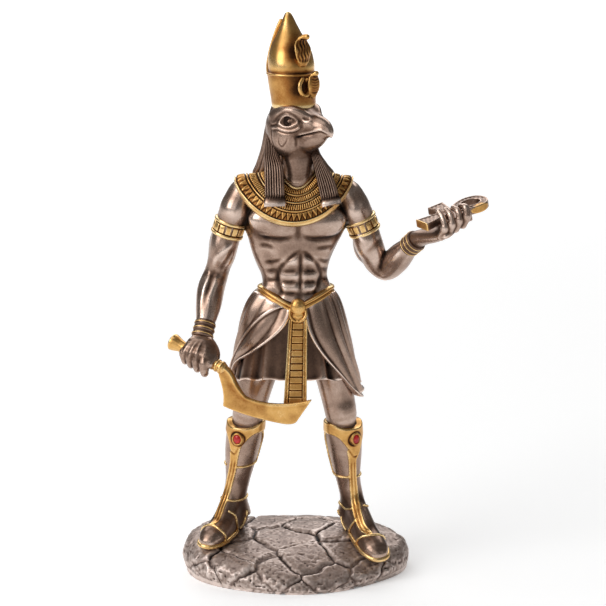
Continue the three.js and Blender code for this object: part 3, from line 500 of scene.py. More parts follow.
# %% Lights and floor
def soft_light(name, place, size, power):
    """A square area light that looks at the figure's chest."""
    data = bpy.data.lights.new(name, "AREA")
    data.size, data.energy = size, power
    light = bpy.data.objects.new(name, data)
    light.location = place
    way = Vector((0, 0, 0.17)) - light.location
    light.rotation_euler = way.to_track_quat("-Z", "Y").to_euler()
    scene.collection.objects.link(light)
    return light


# Place in metres, size in metres, power in watts.
soft_light("key", (-1.2, -0.8, 0.9), 1.0, 11)
soft_light("front", (-0.55, -1.8, 0.9), 1.3, 4)
soft_light("fill", (1.5, -0.9, 0.7), 0.7, 0.4)
soft_light("top", (-0.7, -0.3, 1.7), 1.6, 9)
backdrop_light = soft_light("backdrop", (0, 5.0, 3.2), 6.0, 250)
backdrop_light.rotation_euler = (0, 0, 0)
world = bpy.data.worlds.new("studio")
world.use_nodes = True
world.node_tree.nodes["Background"].inputs["Color"].default_value = (0.13, 0.13, 0.13, 1)
scene.world = world

# %% [markdown]
# ## Finishes
# Cold-cast bronze is resin full of bronze powder: a metal, but not as bright as one, with a satin
# gloss. The eye reads it by three tones: black-brown wash in the hollows, a warm grey middle, and
# pinkish light where it is buffed. The gold is a metallic paint with a brown wash. The ground is the
# same resin, dull and pitted. The cabochons are glossy red resin.

# %% Shader helpers
def linear(hex_colour):
    """An sRGB hex colour as the linear colour that a shader takes."""
    values = [int(hex_colour[i : i + 2], 16) / 255 for i in (1, 3, 5)]
    return [v / 12.92 if v <= 0.04045 else ((v + 0.055) / 1.055) ** 2.4 for v in values] + [1.0]


def node(tree, kind, inputs=None, stops=None, **options):
    """Adds a shader node: its options, its inputs as values or as other nodes' outputs, and the
    stops of a colour ramp."""
    made = tree.nodes.new("ShaderNode" + kind)
    for name, value in options.items():
        setattr(made, name, value)
    for name, value in (inputs or {}).items():
        if isinstance(value, bpy.types.NodeSocket):
            tree.links.new(value, made.inputs[name])
        else:
            made.inputs[name].default_value = value
    for i, (place, colour) in enumerate(stops or []):
        ramp = made.color_ramp.elements
        element = ramp[i] if i < len(ramp) else ramp.new(place)
        element.position, element.color = place, linear(colour)
    return made


def stretch(tree, value, low, high, start, end):
    """Values from low to high, spread evenly from start to end."""
    return node(tree, "MapRange", {0: value, 1: low, 2: high, 3: start, 4: end}).outputs[0]


def washed_metal(name, stops, metallic, rough, grain, mottle, relief, depths=(-0.3, 0.5), patchy=0.09):
    """A cast or painted metal with a dark wash: the colour follows the hollows and any painted shade,
    mottled by a cloud, and a fine bump gives the cast skin. All sizes are in mm. `depths` are the
    heights over and under the surroundings at which the ramp starts and ends. `patchy` is how far the cloud
    shifts it."""
    material = bpy.data.materials.new(name)
    material.use_nodes = True
    tree = material.node_tree
    shader = tree.nodes["Principled BSDF"]
    shader.inputs["Metallic"].default_value = metallic
    place = node(tree, "TexCoord").outputs["Object"]
    wash_and_shade_in = node(tree, "Attribute", attribute_name="wash_and_shade").outputs["Fac"]
    cloud = node(tree, "TexNoise", {"Vector": place, "Scale": 1000 / mottle, "Detail": 4.0})
    skin = node(tree, "TexNoise", {"Vector": place, "Scale": 1000 / grain, "Detail": 3.0})
    shade = stretch(tree, cloud.outputs["Fac"], 0.25, 0.75, -patchy, patchy)
    speck = stretch(tree, skin.outputs["Fac"], 0.3, 0.7, -0.03, 0.03)
    # Where the ramp stands: the wash in the hollows, plus painted shade on the pieces that add it.
    depth = stretch(tree, wash_and_shade_in, *depths, 0.0, 1.0)
    first = node(tree, "Math", {0: depth, 1: shade}, operation="ADD").outputs[0]
    worn = node(tree, "Math", {0: first, 1: speck}, operation="ADD").outputs[0]
    ramp = node(tree, "ValToRGB", {"Fac": worn}, stops=stops)
    dull = stretch(tree, worn, 0.2, 0.9, *rough)
    height = {"Height": skin.outputs["Fac"], "Distance": relief * 0.001, "Strength": 0.6}
    lift = node(tree, "Bump", height)
    tree.links.new(ramp.outputs["Color"], shader.inputs["Base Color"])
    tree.links.new(dull, shader.inputs["Roughness"])
    tree.links.new(lift.outputs["Normal"], shader.inputs["Normal"])
    return material


# %% The finishes
# Bronze powder in resin, cast, washed dark and buffed by hand: a satin metal, black-brown in hollows
# and pinkish on edges. The powder itself is too fine to show, so its grain is drawn 0.9 mm wide.
BRONZE = washed_metal(
    "cold_cast_bronze_resin",
    [(0.0, "#ecd6c8"), (0.3, "#a88e7e"), (0.5, "#6a5244"), (0.75, "#2e2019"), (1.0, "#130c09")],
    0.9, (0.24, 0.42), grain=0.9, mottle=14, relief=0.04,
)
# Metallic paint brushed over the casting, with a brown wash: warm, patchy and a little softer.
GOLD = washed_metal(
    "gold_paint_over_resin",
    [(0.0, "#f6d69c"), (0.3, "#d7a660"), (0.55, "#9a6430"), (0.8, "#462810"), (1.0, "#1f1207")],
    0.9, (0.26, 0.46), grain=0.8, mottle=9, relief=0.04, patchy=0.16,
)
# The same resin, cast from a pitted model and hardly buffed: greyer, duller and rough to the eye.
STONE = washed_metal(
    "dull_bronze_resin_ground",
    [(0.0, "#e4d3ca"), (0.3, "#a8958b"), (0.55, "#705e56"), (0.8, "#2f2522"), (1.0, "#161110")],
    0.6, (0.36, 0.6), grain=1.1, mottle=9, relief=0.3, depths=(-0.26, 0.42),
)

# %% The red resin
# Red resin from a smooth mould: glossy like a sweet, with faint clouds about 1.4 mm wide.
RED = bpy.data.materials.new("glossy_red_resin")
RED.use_nodes = True
red_tree = RED.node_tree
red_shader = red_tree.nodes["Principled BSDF"]
red_shader.inputs["Roughness"].default_value = 0.12
red_place = node(red_tree, "TexCoord").outputs["Object"]
red_cloud = node(red_tree, "TexNoise", {"Vector": red_place, "Scale": 700.0})
red_stops = [(0.35, "#a8141a"), (0.65, "#d2302c")]
red_ramp = node(red_tree, "ValToRGB", {"Fac": red_cloud.outputs["Fac"]}, stops=red_stops)
red_tree.links.new(red_ramp.outputs["Color"], red_shader.inputs["Base Color"])

# %% Floor
# Matt white background paper. It glows a little, as paper does when a light behind whitens it.
FLOOR_HALF = 30.0  # metres, so that its edge stays out of level views
floor_paint = bpy.data.materials.new("matt_white_backdrop")
floor_paint.use_nodes = True
floor_shader = floor_paint.node_tree.nodes["Principled BSDF"]
floor_shader.inputs["Base Color"].default_value = linear("#f4f4f4")
floor_shader.inputs["Roughness"].default_value = 0.9
floor_shader.inputs["Emission Color"].default_value = (1, 1, 1, 1)
floor_shader.inputs["Emission Strength"].default_value = 0.3
floor_mesh = bpy.data.meshes.new("floor")
corners = [(x * FLOOR_HALF, y * FLOOR_HALF, 0) for x, y in ((-1, -1), (1, -1), (1, 1), (-1, 1))]
floor_mesh.from_pydata(corners, [], [(0, 1, 2, 3)])
floor_mesh.materials.append(floor_paint)
floor = bpy.data.objects.new("floor", floor_mesh)
scene.collection.objects.link(floor)


# %% Pieces of the figure
def bronze_part(name, parts, **look):
    """A piece of the figure in washed bronze resin."""
    make_piece(name, parts, BRONZE, "bronze_resin", "falcon_figure", **look)


def gilt_part(name, parts, **look):
    """A piece of the figure that is painted gold."""
    make_piece(name, parts, GOLD, "gilt", "falcon_figure", **look)


# %% [markdown]
# ## The ground
# The base is a low mound of flagstones. A flat disc mesh is wrapped over the mound and down its side.
# The height of each point comes from which stone it belongs to: the nearest seed owns the point, and the
# way to the border with the second nearest seed makes the crack. Wavy noise bends the borders, tilts
# and pits the stones, and breaks their edges.

# %% Value noise
def noise(x, y, z, size, seed):
    """Smooth random values from -1 to 1, `size` mm across: random numbers on a lattice, eased
    between its corners."""
    table = np.random.default_rng(seed).random((32, 32, 32)) * 2 - 1
    total = 0
    spots = [np.asarray(v) / size for v in (x, y, z)]
    base = [np.floor(s).astype(int) for s in spots]
    f = [s - b for s, b in zip(spots, base)]
    f = [t * t * (3 - 2 * t) for t in f]
    for corner in np.ndindex(2, 2, 2):
        weight = 1
        for k in range(3):
            weight = weight * (f[k] if corner[k] else 1 - f[k])
        total = total + weight * table[tuple((b + c) % 32 for b, c in zip(base, corner))]
    return total


# %% The mound's shape
BASE_LENGTH, BASE_DEPTH, CREST = 123.0, 95.0, 19.5
HALF_DEPTH, SET_BACK = 46.64, 0.6  # of the mound's outline before it wanders, mm
# Middles of the flagstones, mm, from the crest forwards and round the hidden back.
STONES = np.array([
    (-14, 26), (9, 16), (25, 7), (-4, -4), (-25, -19), (6, -25), (30, -17), (-34, -35), (-54, -17),
    (-9, -41), (16, -41), (43, -33), (-25, -49), (6, -53), (58, -9), (-38, 4), (-58, 6), (4, 40),
    (30, 32), (-34, 30), (49, 17), (-14, 52), (24, 52), (70, 20), (60, -32), (-58, -36), (33, -51),
])


def ground(x, y):
    """Height of the ground: a crest behind the heels that falls off with the square of the way."""
    return CREST * (1 - (1.4 + 1.55 * x / BASE_LENGTH) * (y / BASE_DEPTH - 0.147) ** 2)


# %% Wrap a disc over the mound
def mound_skin(count):
    """The mound as a wrapped disc. A square grid is squeezed into a disc ring by ring, so that its
    cells stay even. The way from the middle, 0 to 1, runs over the top and down the side."""
    line = np.linspace(-1, 1, count)
    u, v = np.meshgrid(line, line, indexing="ij")
    far = np.maximum(abs(u), abs(v))
    safe = np.where(far > 0, far, 1)
    turn = np.where(abs(u) >= abs(v), v / np.where(u == 0, 1, u), u / np.where(v == 0, 1, v))
    angle = np.where(abs(u) >= abs(v), turn * np.pi / 4, np.pi / 2 - turn * np.pi / 4)
    angle = np.where(np.where(abs(u) >= abs(v), u, v) < 0, angle + np.pi, angle)
    profile = curve(
        [0, 0.3, 0.6, 0.74, 0.85, 0.93, 1.0],
        [[0, 1], [0.36, 1], [0.7, 1], [0.86, 0.975], [0.965, 0.82], [1.0, 0.42], [0.97, 0]],
        far.ravel(),
    )
    share, height = profile[:, 0].reshape(far.shape), profile[:, 1].reshape(far.shape)
    wander = 1 + 0.022 * np.sin(3 * angle + 0.6) + 0.016 * np.sin(5 * angle + 2.0)
    x = BASE_LENGTH / 2 * np.cos(angle) * wander * share * (far / safe)
    y = (HALF_DEPTH * np.sin(angle) * wander + SET_BACK) * share * (far / safe)
    top = ground(x, y) - 0.1 * CREST * share**6
    return x, y, height * top, height, np.cos(angle), np.sin(angle)


# %% Which flagstone a point belongs to
x, y, z, height, ca, sa = mound_skin(222)


def wavy(seeds):
    """Waves of three sizes that bend the borders: 3 mm high over 13 mm, 1.1 over 4, 0.3 over 1.4."""
    waves = zip((3, 1.1, 0.3), (13, 4, 1.4), seeds)
    return sum(tall * noise(x, y, z, size, seed) for tall, size, seed in waves)


down = ground(x, y) * (1 - height)  # unrolls the side, so that stones lie on it as on the top
bent_x = x + down * ca + wavy((1, 2, 10))
bent_y = y + down * sa + wavy((3, 4, 11))
far = np.hypot(bent_x[..., None] - STONES[:, 0], bent_y[..., None] - STONES[:, 1])
order = np.argsort(far, axis=-1)
owner, second = order[..., 0], order[..., 1]
gap = np.linalg.norm(STONES[owner] - STONES[second], axis=-1)
near, next_near = np.take_along_axis(far, order[..., :2], -1).transpose(2, 0, 1)
border = (next_near**2 - near**2) / (2 * gap)
print(f"{len(np.unique(owner))} of {len(STONES)} flagstones reach the surface")

# %% How high each flagstone stands
CRACK = 2.0  # depth of the joints, mm
crack = ease(border, 0.08, 0.75 + 0.35 * noise(x, y, z, 7, 12))
rng = np.random.default_rng(7)
step = rng.uniform(-1.1, 0, len(STONES))[owner]
tilt = rng.uniform(-0.05, 0.05, (len(STONES), 2))
lean = ((x - STONES[owner, 0]) * tilt[owner, 0]) + ((y - STONES[owner, 1]) * tilt[owner, 1])
coarse = 0.55 + 1.2 * (1 - ease(height, 0.7, 0.995))
rough = 0.5 * noise(x, y, z, 6, 5) + 0.3 * noise(x, y, z, 2.4, 6) + 0.22 * noise(x, y, z, 1.2, 8)
pits = -0.5 * ease(noise(x, y, z, 1.5, 9), 0.35, 0.85)
worn = -0.8 * (1 - ease(border, 0.5, 3.2)) ** 2
lift = crack * (CRACK + np.clip(lean, -0.8, 0.5) + step + worn + coarse * (rough + pits)) - CRACK
lift = lift * ease(height, 0.0, 0.06)
out = 0.75 * (1 - height**2)

# %% The mound's mesh
points = np.stack([x + lift * ca * out, y + lift * sa * out, z + lift * (1 - out) * (height > 0)], -1)
points[..., 2] = np.maximum(points[..., 2], 0)
n = len(points)
i, j = np.meshgrid(np.arange(n - 1), np.arange(n - 1), indexing="ij")
quads = np.stack([i * n + j, (i + 1) * n + j, (i + 1) * n + j + 1, i * n + j + 1], -1).reshape(-1, 4)
ids = np.arange(n * n).reshape(n, n)
rim = np.concatenate([ids[0, :-1], ids[:-1, -1], ids[-1, :0:-1], ids[:0:-1, 0]])
middle = np.full(len(rim), n * n)
bottom = np.stack([middle, rim, np.roll(rim, -1)], -1)
stone_points = np.vstack([points.reshape(-1, 3), [[0, 0, 0]]])
mound = (stone_points, [quads, bottom])
make_piece("flagstone_mound", [mound], STONE, "stone_base", "stone_base", rounds=8)

# %% [markdown]
# ## Trunk and arms
# The chest, belly and arms are one block of clay. The trunk is an oval whose half sizes change with the
# height, with relief for chest, ribs and spine. Arms are limbs through the joints. Then the tool cuts
# the rib arch, the middle line and the rows of belly muscles, and pads swell between the lines.

# %% The trunk's relief
TRUNK = np.array([
    [118, 17.0, 12.2, 0], [122, 17.5, 12.5, 0], [132, 18.6, 12.5, 0], [140, 17.4, 11.6, 0],
    [146, 16.4, 11.0, 0], [152, 17.4, 11.4, 0], [160, 20.3, 12.8, 0.4], [168, 23.6, 14.0, 0.8],
    [176, 26.2, 14.4, 1.0], [184, 27.2, 13.4, 1.4], [189, 25.0, 12.0, 2.0], [193, 19.6, 10.4, 2.4],
    [197, 13.0, 9.0, 2.0], [200, 8.6, 8.0, 1.0], [206, 8.0, 7.6, 0.0],
])
TRUNK_X = 1.4  # the trunk's axis stands this far to his left, mm


def muscle(angle, z):
    """How far, mm, muscle stands out of the oval at an angle from the front and a height."""
    side = np.abs(angle)
    chest = 1.4 * ease(z, 167, 172) * (1 - ease(z, 183, 192)) * bump(side, 0.62, 0.5)
    breastbone = -0.6 * bump(angle, 0, 0.09) * ease(z, 165, 171) * (1 - ease(z, 184, 190))
    ribs = 1.5 * bump(side, 0.78, 0.36) * bump(z, 161, 7)
    flank = 1.7 * bump(side, 1.15, 0.4) * bump(z, 139, 5)
    lats = 1.4 * bump(side, 1.6, 0.4) * bump(z, 172, 9)
    spine = -1.8 * bump(side, np.pi, 0.22)
    blades = 1.7 * bump(side, 2.35, 0.4) * bump(z, 178, 10)
    return chest + breastbone + ribs + flank + lats + spine + blades


def trunk_shape(x, y, z):
    """An oval with relief: the length of the offset over the half sizes, less 1."""
    wide, deep, middle = curve(TRUNK[:, 0], TRUNK[:, 1:], z.ravel() - SOLE).T[:, None, None, :]
    across, front = x - TRUNK_X, -(y - middle)
    angle = np.arctan2(across / wide, front / deep) - 0.05  # the breastbone lies a little to his left
    out = muscle(angle, z - SOLE)
    return np.hypot(across / (wide + out), front / (deep + out)) - 1


flesh = Clay((-64, -30, 132), (74, 24, 234), 0.79)
flesh.form(trunk_shape, (-40, -24, 134), (44, 24, 221), 1.0)


# %% Arms
def joints(**places):
    """Joint names and their places on the figure."""
    return {name: at(*place) for name, place in places.items()}


RIGHT = joints(
    shoulder=(-29, 1, 184.5), band=(-33.9, 2, 171), middle=(-37.8, 4, 156),
    elbow=(-40, 6.5, 147.5), swell=(-43, -1, 137), wrist=(-48, -14.5, 114.5),
)
LEFT = joints(
    shoulder=(31.2, 1, 184.5), band=(36.4, 2, 172.5), middle=(41, 4, 160),
    elbow=(46.6, 7, 146.5), swell=(53.4, 0.5, 153.4), wrist=(64.6, -15, 167.5),
)


def arm_stations(arm, side):
    """Rows of [x, y, z, half width, half depth] from inside the shoulder to the wrist."""
    def row(a, b, share, outward, forward, wide, deep):
        """One row at a share of the way between two joints, moved outward and forward."""
        place = mix(arm[a], arm[b], share) + np.array([side * outward, -forward, 0])
        return [*place, wide, deep]

    return [
        row("shoulder", "band", -0.65, -4.4, 0, 4.4, 5.6),
        row("shoulder", "band", -0.42, -1, 0, 7.2, 8),
        row("shoulder", "band", -0.05, 0.0, 0.4, 7.8, 8.8),
        row("shoulder", "band", 0.45, 0.3, 0.4, 7.8, 8.5),
        row("shoulder", "band", 1, 0, 0, 7.6, 7.9),
        row("middle", "elbow", 0.1, 0, 1.4, 7.0, 7.8),
        row("middle", "elbow", 0.7, 0, 0, 6.3, 6.9),
        row("elbow", "swell", 0.25, 0.4, 0, 6.6, 6.4),
        row("elbow", "swell", 0.9, 0.9, 0, 7.2, 7.0),
        row("swell", "wrist", 0.3, 0.2, 0, 6.7, 6.3),
        row("elbow", "wrist", 0.8, 0, 0, 4.9, 4.9),
        row("elbow", "wrist", 1, 0, 0, 4.3, 4.3),
    ]


for arm, side in ((RIGHT, -1), (LEFT, 1)):
    flesh.limb(arm_stations(arm, side), blend=2.6)


# %% Neck, flank and pads of muscle
def stations(*rows):
    """Rows of x, y, height, half width and half depth on the figure, as a limb takes them."""
    return [[*at(*row[:3]), *row[3:]] for row in rows]


neck = stations((2.6, -0.4, 190, 10, 9.2), (2.6, -2.8, 203, 8.3, 7.9), (2.2, -3.4, 212, 8.2, 7.6))
flesh.limb(neck, blend=3)
flank = stations(
    (-17.4, 0, 169, 6.4, 9), (-16.3, 0, 161, 6, 8.6), (-15, 0, 156, 5.6, 8.2), (-12, 0, 148, 5, 7.4),
)
flesh.limb(flank, blend=3.5)
CHEST = (((-10.4, -8.4, 175.4), (13, 6.6, 8), -0.18), ((15.2, -8.0, 175.4), (12.6, 6.6, 8), 0.18))
for place, sizes, lean in CHEST:
    chest_ways = [(math.cos(lean), 0, math.sin(lean)), (0, 1, 0), (-math.sin(lean), 0, math.cos(lean))]
    flesh.egg(at(*place), sizes, chest_ways, blend=2.6)
PADS = (
    ((-37.2, 1.2, 160), (5.8, 6.4, 10.5)),  # right biceps
    ((-38.3, 6.5, 160), (6.4, 5, 11)),  # right triceps
    ((-30.4, -1, 181), (7.2, 8.4, 8)),  # right shoulder
    ((-40.6, 2.0, 148.5), (5.4, 4.4, 6.5)),  # right elbow
    ((38.4, 0.6, 164.5), (6, 6.6, 9.5)),  # left biceps
    ((37.5, 8, 163), (6, 5, 12)),  # left triceps
    ((32.2, -1, 181), (6.9, 8.4, 8)),  # left shoulder
)
for place, sizes in PADS:
    flesh.egg(at(*place), sizes, blend=2.4)

# %% Carve the trunk
def carve(clay, lines, width, depth, **options):
    """Several tool strokes of one width and depth; lines are in the figure's heights."""
    for line in lines:
        clay.stroke([at(*p) for p in line], width, depth, **options)


carve(flesh, [
    [(4.1, -11.4, 161.6), (0.8, -11.6, 159), (-3.4, -10.7, 155.3), (-6.7, -9.6, 151.3), (-8.3, -8.9, 147.5),
     (-7.6, -9.7, 142.2), (-6, -10.3, 139), (-7.6, -10.3, 135)],
    [(4.4, -11.6, 161.4), (9.7, -11, 156.8), (13, -8.6, 152.5), (14.4, -6.4, 147.8), (12.8, -8.7, 142),
     (11.6, -9.5, 138.4), (13.5, -10.7, 135)],
], 1.05, 0.95, taper=0.15)
carve(flesh, [[(3.9, -11.5, 162), (3.9, -11.5, 150), (3.9, -11.5, 138)]], 0.85, 0.75, taper=0.2)
for z in (149.9, 144.1, 138.1):
    carve(flesh, [[(-6.2, -9.5, z - 0.3), (-2, -10.8, z), (2.6, -11.4, z - 0.2)]], 0.85, 0.6)
    carve(flesh, [[(5.2, -11.4, z - 0.2), (9, -10.4, z), (12.4, -8.5, z - 0.3)]], 0.85, 0.6)
for z, half in ((155, 3.4), (147, 4.6), (141.1, 4.4), (134.6, 4.4)):
    carve(flesh, [[(-1.9 - half / 2, -10.8, z), (-1.5 + half / 2, -11.2, z)]], 2.6, -0.9, taper=0)
    carve(flesh, [[(8.9 - half / 2, -11.2, z), (8.9 + half / 2, -10.4, z)]], 2.6, -0.9, taper=0)
carve(flesh, [
    [(-17.8, -9, 172), (-14.6, -9.7, 168.8), (-9.4, -11.9, 167.4), (-3, -12.5, 167.8), (1.6, -12.7, 169.6)],
    [(3.6, -12.3, 169.6), (9, -12.3, 167.6), (15.7, -10.7, 167.6), (20, -8, 168.6), (22.8, -5, 171)],
], 0.95, 0.8)
carve(flesh, [
    [(-15.2, -4.4, 154.3), (-9.5, -9.4, 155), (-5, -11.2, 156.6)],
    [(-13.8, -4.6, 149.6), (-10.5, -7.4, 149.8), (-8, -9.3, 150.5)],
    [(-13.3, -5, 144.6), (-10.4, -7.4, 144.6), (-8, -8.9, 145.2)],
    [(11.6, -10.4, 156.9), (15.8, -6.8, 154.8), (18.4, -3.6, 154.6)],
    [(14.4, -7.6, 150.9), (17.2, -3.6, 149.4), (18, -1, 149.2)],
    [(14.6, -7, 145.4), (16.6, -4, 144.6), (17.4, -1, 144.2)],
    [(-17.6, -6.4, 163.6), (-13.6, -9.6, 163.6), (-9, -11.8, 162)],
    [(20.6, -4.8, 163), (16, -8.8, 162.6), (11, -11, 162)],
], 0.85, 0.8)

# %% Carve the arms
carve(flesh, [
    [(-30.1, -1.6, 164.7), (-35.3, -4.3, 161), (-39.5, -4, 156.1), (-41.9, -0.2, 149.5)],
    [(-42.9, -0.2, 147.8), (-44.9, -4.1, 143.2), (-47, -6.8, 137.9), (-49, -11, 128)],
    [(-37.6, -0.4, 147.3), (-40.2, -3.9, 142.7), (-43.7, -9.7, 134.2), (-44.7, -12.7, 126.8)],
    [(31.5, -4.4, 174.8), (34, -4.5, 169.5), (38.6, -5, 163.2)],
    [(50, -4, 152), (54, -8, 157), (58, -12, 162)],
], 1.5, -0.7)
carve(flesh, [
    [(-31.6, -2, 162), (-34, -3.6, 157), (-37.4, -2.6, 151), (-38.6, -0.6, 147.5)],
    [(-41.3, -0.4, 149.5), (-42.9, -2.6, 145.6), (-44.3, -6.3, 141), (-46, -8.6, 135)],
], 1.1, 0.9)
carve(flesh, [[(37.6, -3.4, 158.5), (40.4, -4.7, 160.5), (42.5, -3.8, 163), (45, 0, 165.6)]], 1.5, 0.5)
points, faces = flesh.skin()
bronze_part("flesh", [(points, faces)], rounds=8, broad=34)

# %% [markdown]
# ## Legs and boots
# A bare thigh and knee go into a tall boot. The shaft is an oval whose middle, width and depth follow
# the shin, cut off at a dipping top edge. The foot is a limb from heel to toe, cut off at the ground.
# The gilt trim is one casting with the boot, so it follows its surface: the boot is grown by the
# trim's thickness, and only what lies within a tube round each trim line is kept.

# %% Trim that follows a surface
def trim_on(base, lift, blend=0.45):
    """A new block of clay with the same grid, ready for the tubes that say where trim lies."""
    made = Clay(base.low, base.low + base.cell * (np.array(base.field.shape) - 1), base.cell)
    made.base, made.lift, made.soft = base, lift, blend
    return made


def close_trim(made):
    """Keeps the part of the grown base that lies in the tubes: a smooth maximum of both distances."""
    grown = made.base.field - made.lift
    near = np.maximum(1 - np.abs(made.field - grown) / made.soft, 0)
    made.field = np.maximum(made.field, grown) + near * near * (made.soft / 4)


def beside(clay, line, shift):
    """A line on the surface moved sideways by `shift`, square to the line and to the way out."""
    line = clay.settle(path(line, 1.2))
    ahead = np.gradient(line, axis=0)
    across = np.cross(ahead, clay.slope(line))
    across /= np.linalg.norm(across, axis=1, keepdims=True)
    return clay.settle(line + shift * across)


def cord_on(clay, base, line, radius, lift=0.15):
    """A round cord laid on a surface."""
    line = base.settle(path(line, 1.2), lift)
    size = np.full((len(line), 2), radius)
    clay.limb(np.hstack([line, size]), blend=0.3, spacing=1.2)


# %% Where the legs are
def on_ground(x, y):
    """A place on the ground under a foot."""
    return np.array([x, y, ground(x, y)])


RIGHT_LEG = joints(
    hip=(-10, 1, 118), thigh=(-19, -1, 92), knee=(-24.3, -3, 70), top=(-25, -1.5, 66.5),
    calf=(-27.6, 1.5, 50), shin=(-29.4, 3, 37), ankle=(-31.2, 6, 23),
) | dict(heel=on_ground(-27.8, 13.5), toe=on_ground(-46.6, -21), facing=-0.32)
LEFT_LEG = joints(
    hip=(13, 1, 118), thigh=(21.5, -1, 92), knee=(25.6, -3, 70), top=(26.4, -1.5, 66),
    calf=(27.7, 1.5, 50), shin=(28.9, 3, 37), ankle=(31.2, 6, 22),
) | dict(heel=on_ground(28.6, 13.5), toe=on_ground(46.2, -27), facing=0.6)


def face_of(leg):
    """The way the shin looks."""
    return np.array([math.sin(leg["facing"]), -math.cos(leg["facing"]), 0])


# %% Boot and leg as clay
def shaft_rows(leg):
    """Rows of [height, middle x, middle y, half width, half depth] from the boot's top to the heel."""
    places = [
        (leg["top"] + (0, 0, 2.5), 9.7, 9.9), (mix(leg["top"], leg["calf"], 0.3), 10.0, 10.3),
        (leg["calf"], 9.2, 9.9), (mix(leg["calf"], leg["shin"], 0.5), 8.3, 9.0), (leg["shin"], 7.3, 8.0),
        (mix(leg["shin"], leg["ankle"], 0.5), 6.3, 7.1), (leg["ankle"], 5.9, 6.8),
        (mix(leg["ankle"], leg["heel"], 0.6), 5.6, 7.0),
    ]
    return np.array([[place[2], place[0], place[1], wide, deep] for place, wide, deep in places][::-1])


def top_edge(leg, x, y, mx, my):
    """Height of the boot's top edge: it dips in front."""
    front = (x - mx) * face_of(leg)[0] + (y - my) * face_of(leg)[1]
    return leg["top"][2] + 0.6 - 2.6 * ease(front, 2, 10)


def shaft_shape(leg):
    """The boot's shaft: an oval round its middle line, cut off by its top edge."""
    rows = shaft_rows(leg)

    def shape(x, y, z):
        """How far outside the shaft a point is, mm."""
        mx, my, wide, deep = curve(rows[:, 0], rows[:, 1:], z.ravel()).T[:, None, None, :]
        away = np.hypot((x - mx) / wide, (y - my) / deep) - 1
        above = z - top_edge(leg, x, y, mx, my)
        side = away * np.minimum(wide, deep)
        near = np.maximum(1 - np.abs(side - above) / 0.8, 0)
        return np.maximum(side, above) + near * near * 0.2

    return shape


def foot_ways(leg):
    """The foot's directions, ahead, across and up, and its length from heel to toe."""
    ahead = unit(leg["toe"] - leg["heel"])
    across = unit(np.cross(ahead, (0, 0, 1)))
    return ahead, across, np.cross(across, ahead), np.linalg.norm(leg["toe"] - leg["heel"])


def leg_block(leg, cell):
    """An empty block of clay that holds one leg from the hip to the toe."""
    low = np.minimum(leg["toe"], leg["knee"]) - (14, 12, 8)
    high = np.maximum(leg["hip"], leg["heel"]) + (13, 16, 6)
    low[0] = min(low[0], leg["knee"][0] - 14)
    high[0] = max(high[0], leg["toe"][0] + 9, leg["knee"][0] + 14)
    return Clay(low, high, cell)


def leg_clay(leg, cell):
    """Thigh, knee, boot shaft, foot and instep as one block, cut off at the ground."""
    clay = leg_block(leg, cell)
    clay.limb([
        [*leg["hip"], 10.5, 11], [*leg["thigh"], 10, 10.8], [*mix(leg["thigh"], leg["knee"], 0.62), 8.8, 9.4],
        [*leg["knee"], 8.3, 8.8], [*mix(leg["knee"], leg["calf"], 0.12), 7.9, 8.2],
        [*mix(leg["knee"], leg["calf"], 0.5), 7.6, 8],
    ], blend=1.5)
    middles = shaft_rows(leg)[:, [1, 2, 0]]
    reach = (12.5, 12.5, 0)
    clay.form(shaft_shape(leg), middles.min(0) - reach, middles.max(0) + reach + (0, 0, 2), 0.35)
    ahead, across, above, long = foot_ways(leg)
    # Share of the way to the toe, half width and height of the foot.
    foot = [
        (0.17, 5.5, 16), (0.28, 5.8, 19.6), (0.42, 6, 17.4), (0.55, 6.6, 13.2), (0.66, 7.1, 11.2),
        (0.78, 7.4, 10.6), (0.88, 6.6, 8.8), (0.93, 5.4, 7),
    ]
    clay.limb([
        [*(leg["heel"] + ahead * share * long + above * (tall - 1.5) / 2), wide, (tall + 1.5) / 2]
        for share, wide, tall in foot
    ], side=across, blend=3.0)
    clay.limb([
        [*leg["shin"], 3.6, 4.2], [*(mix(leg["shin"], leg["ankle"], 0.5) + ahead * 1.2), 4.4, 5.0],
        [*(leg["ankle"] + ahead * 4.2), 5, 5.4],
        [*(leg["heel"] + ahead * 0.46 * long + above * 10), 5.2, 5.2],
        [*(leg["heel"] + ahead * 0.64 * long + above * 6.4), 5.4, 4.6],
    ], side=across, blend=3.0)

    def under_ground(x, y, z):
        """Below 0 more than 1.3 mm under the stones, where the sole ends."""
        return z - ground(x, y) + 1.3 + 0 * (x + y)

    clay.form(under_ground, clay.low, leg["toe"] + (50, 60, 3), 0.3, carve=True)
    return clay


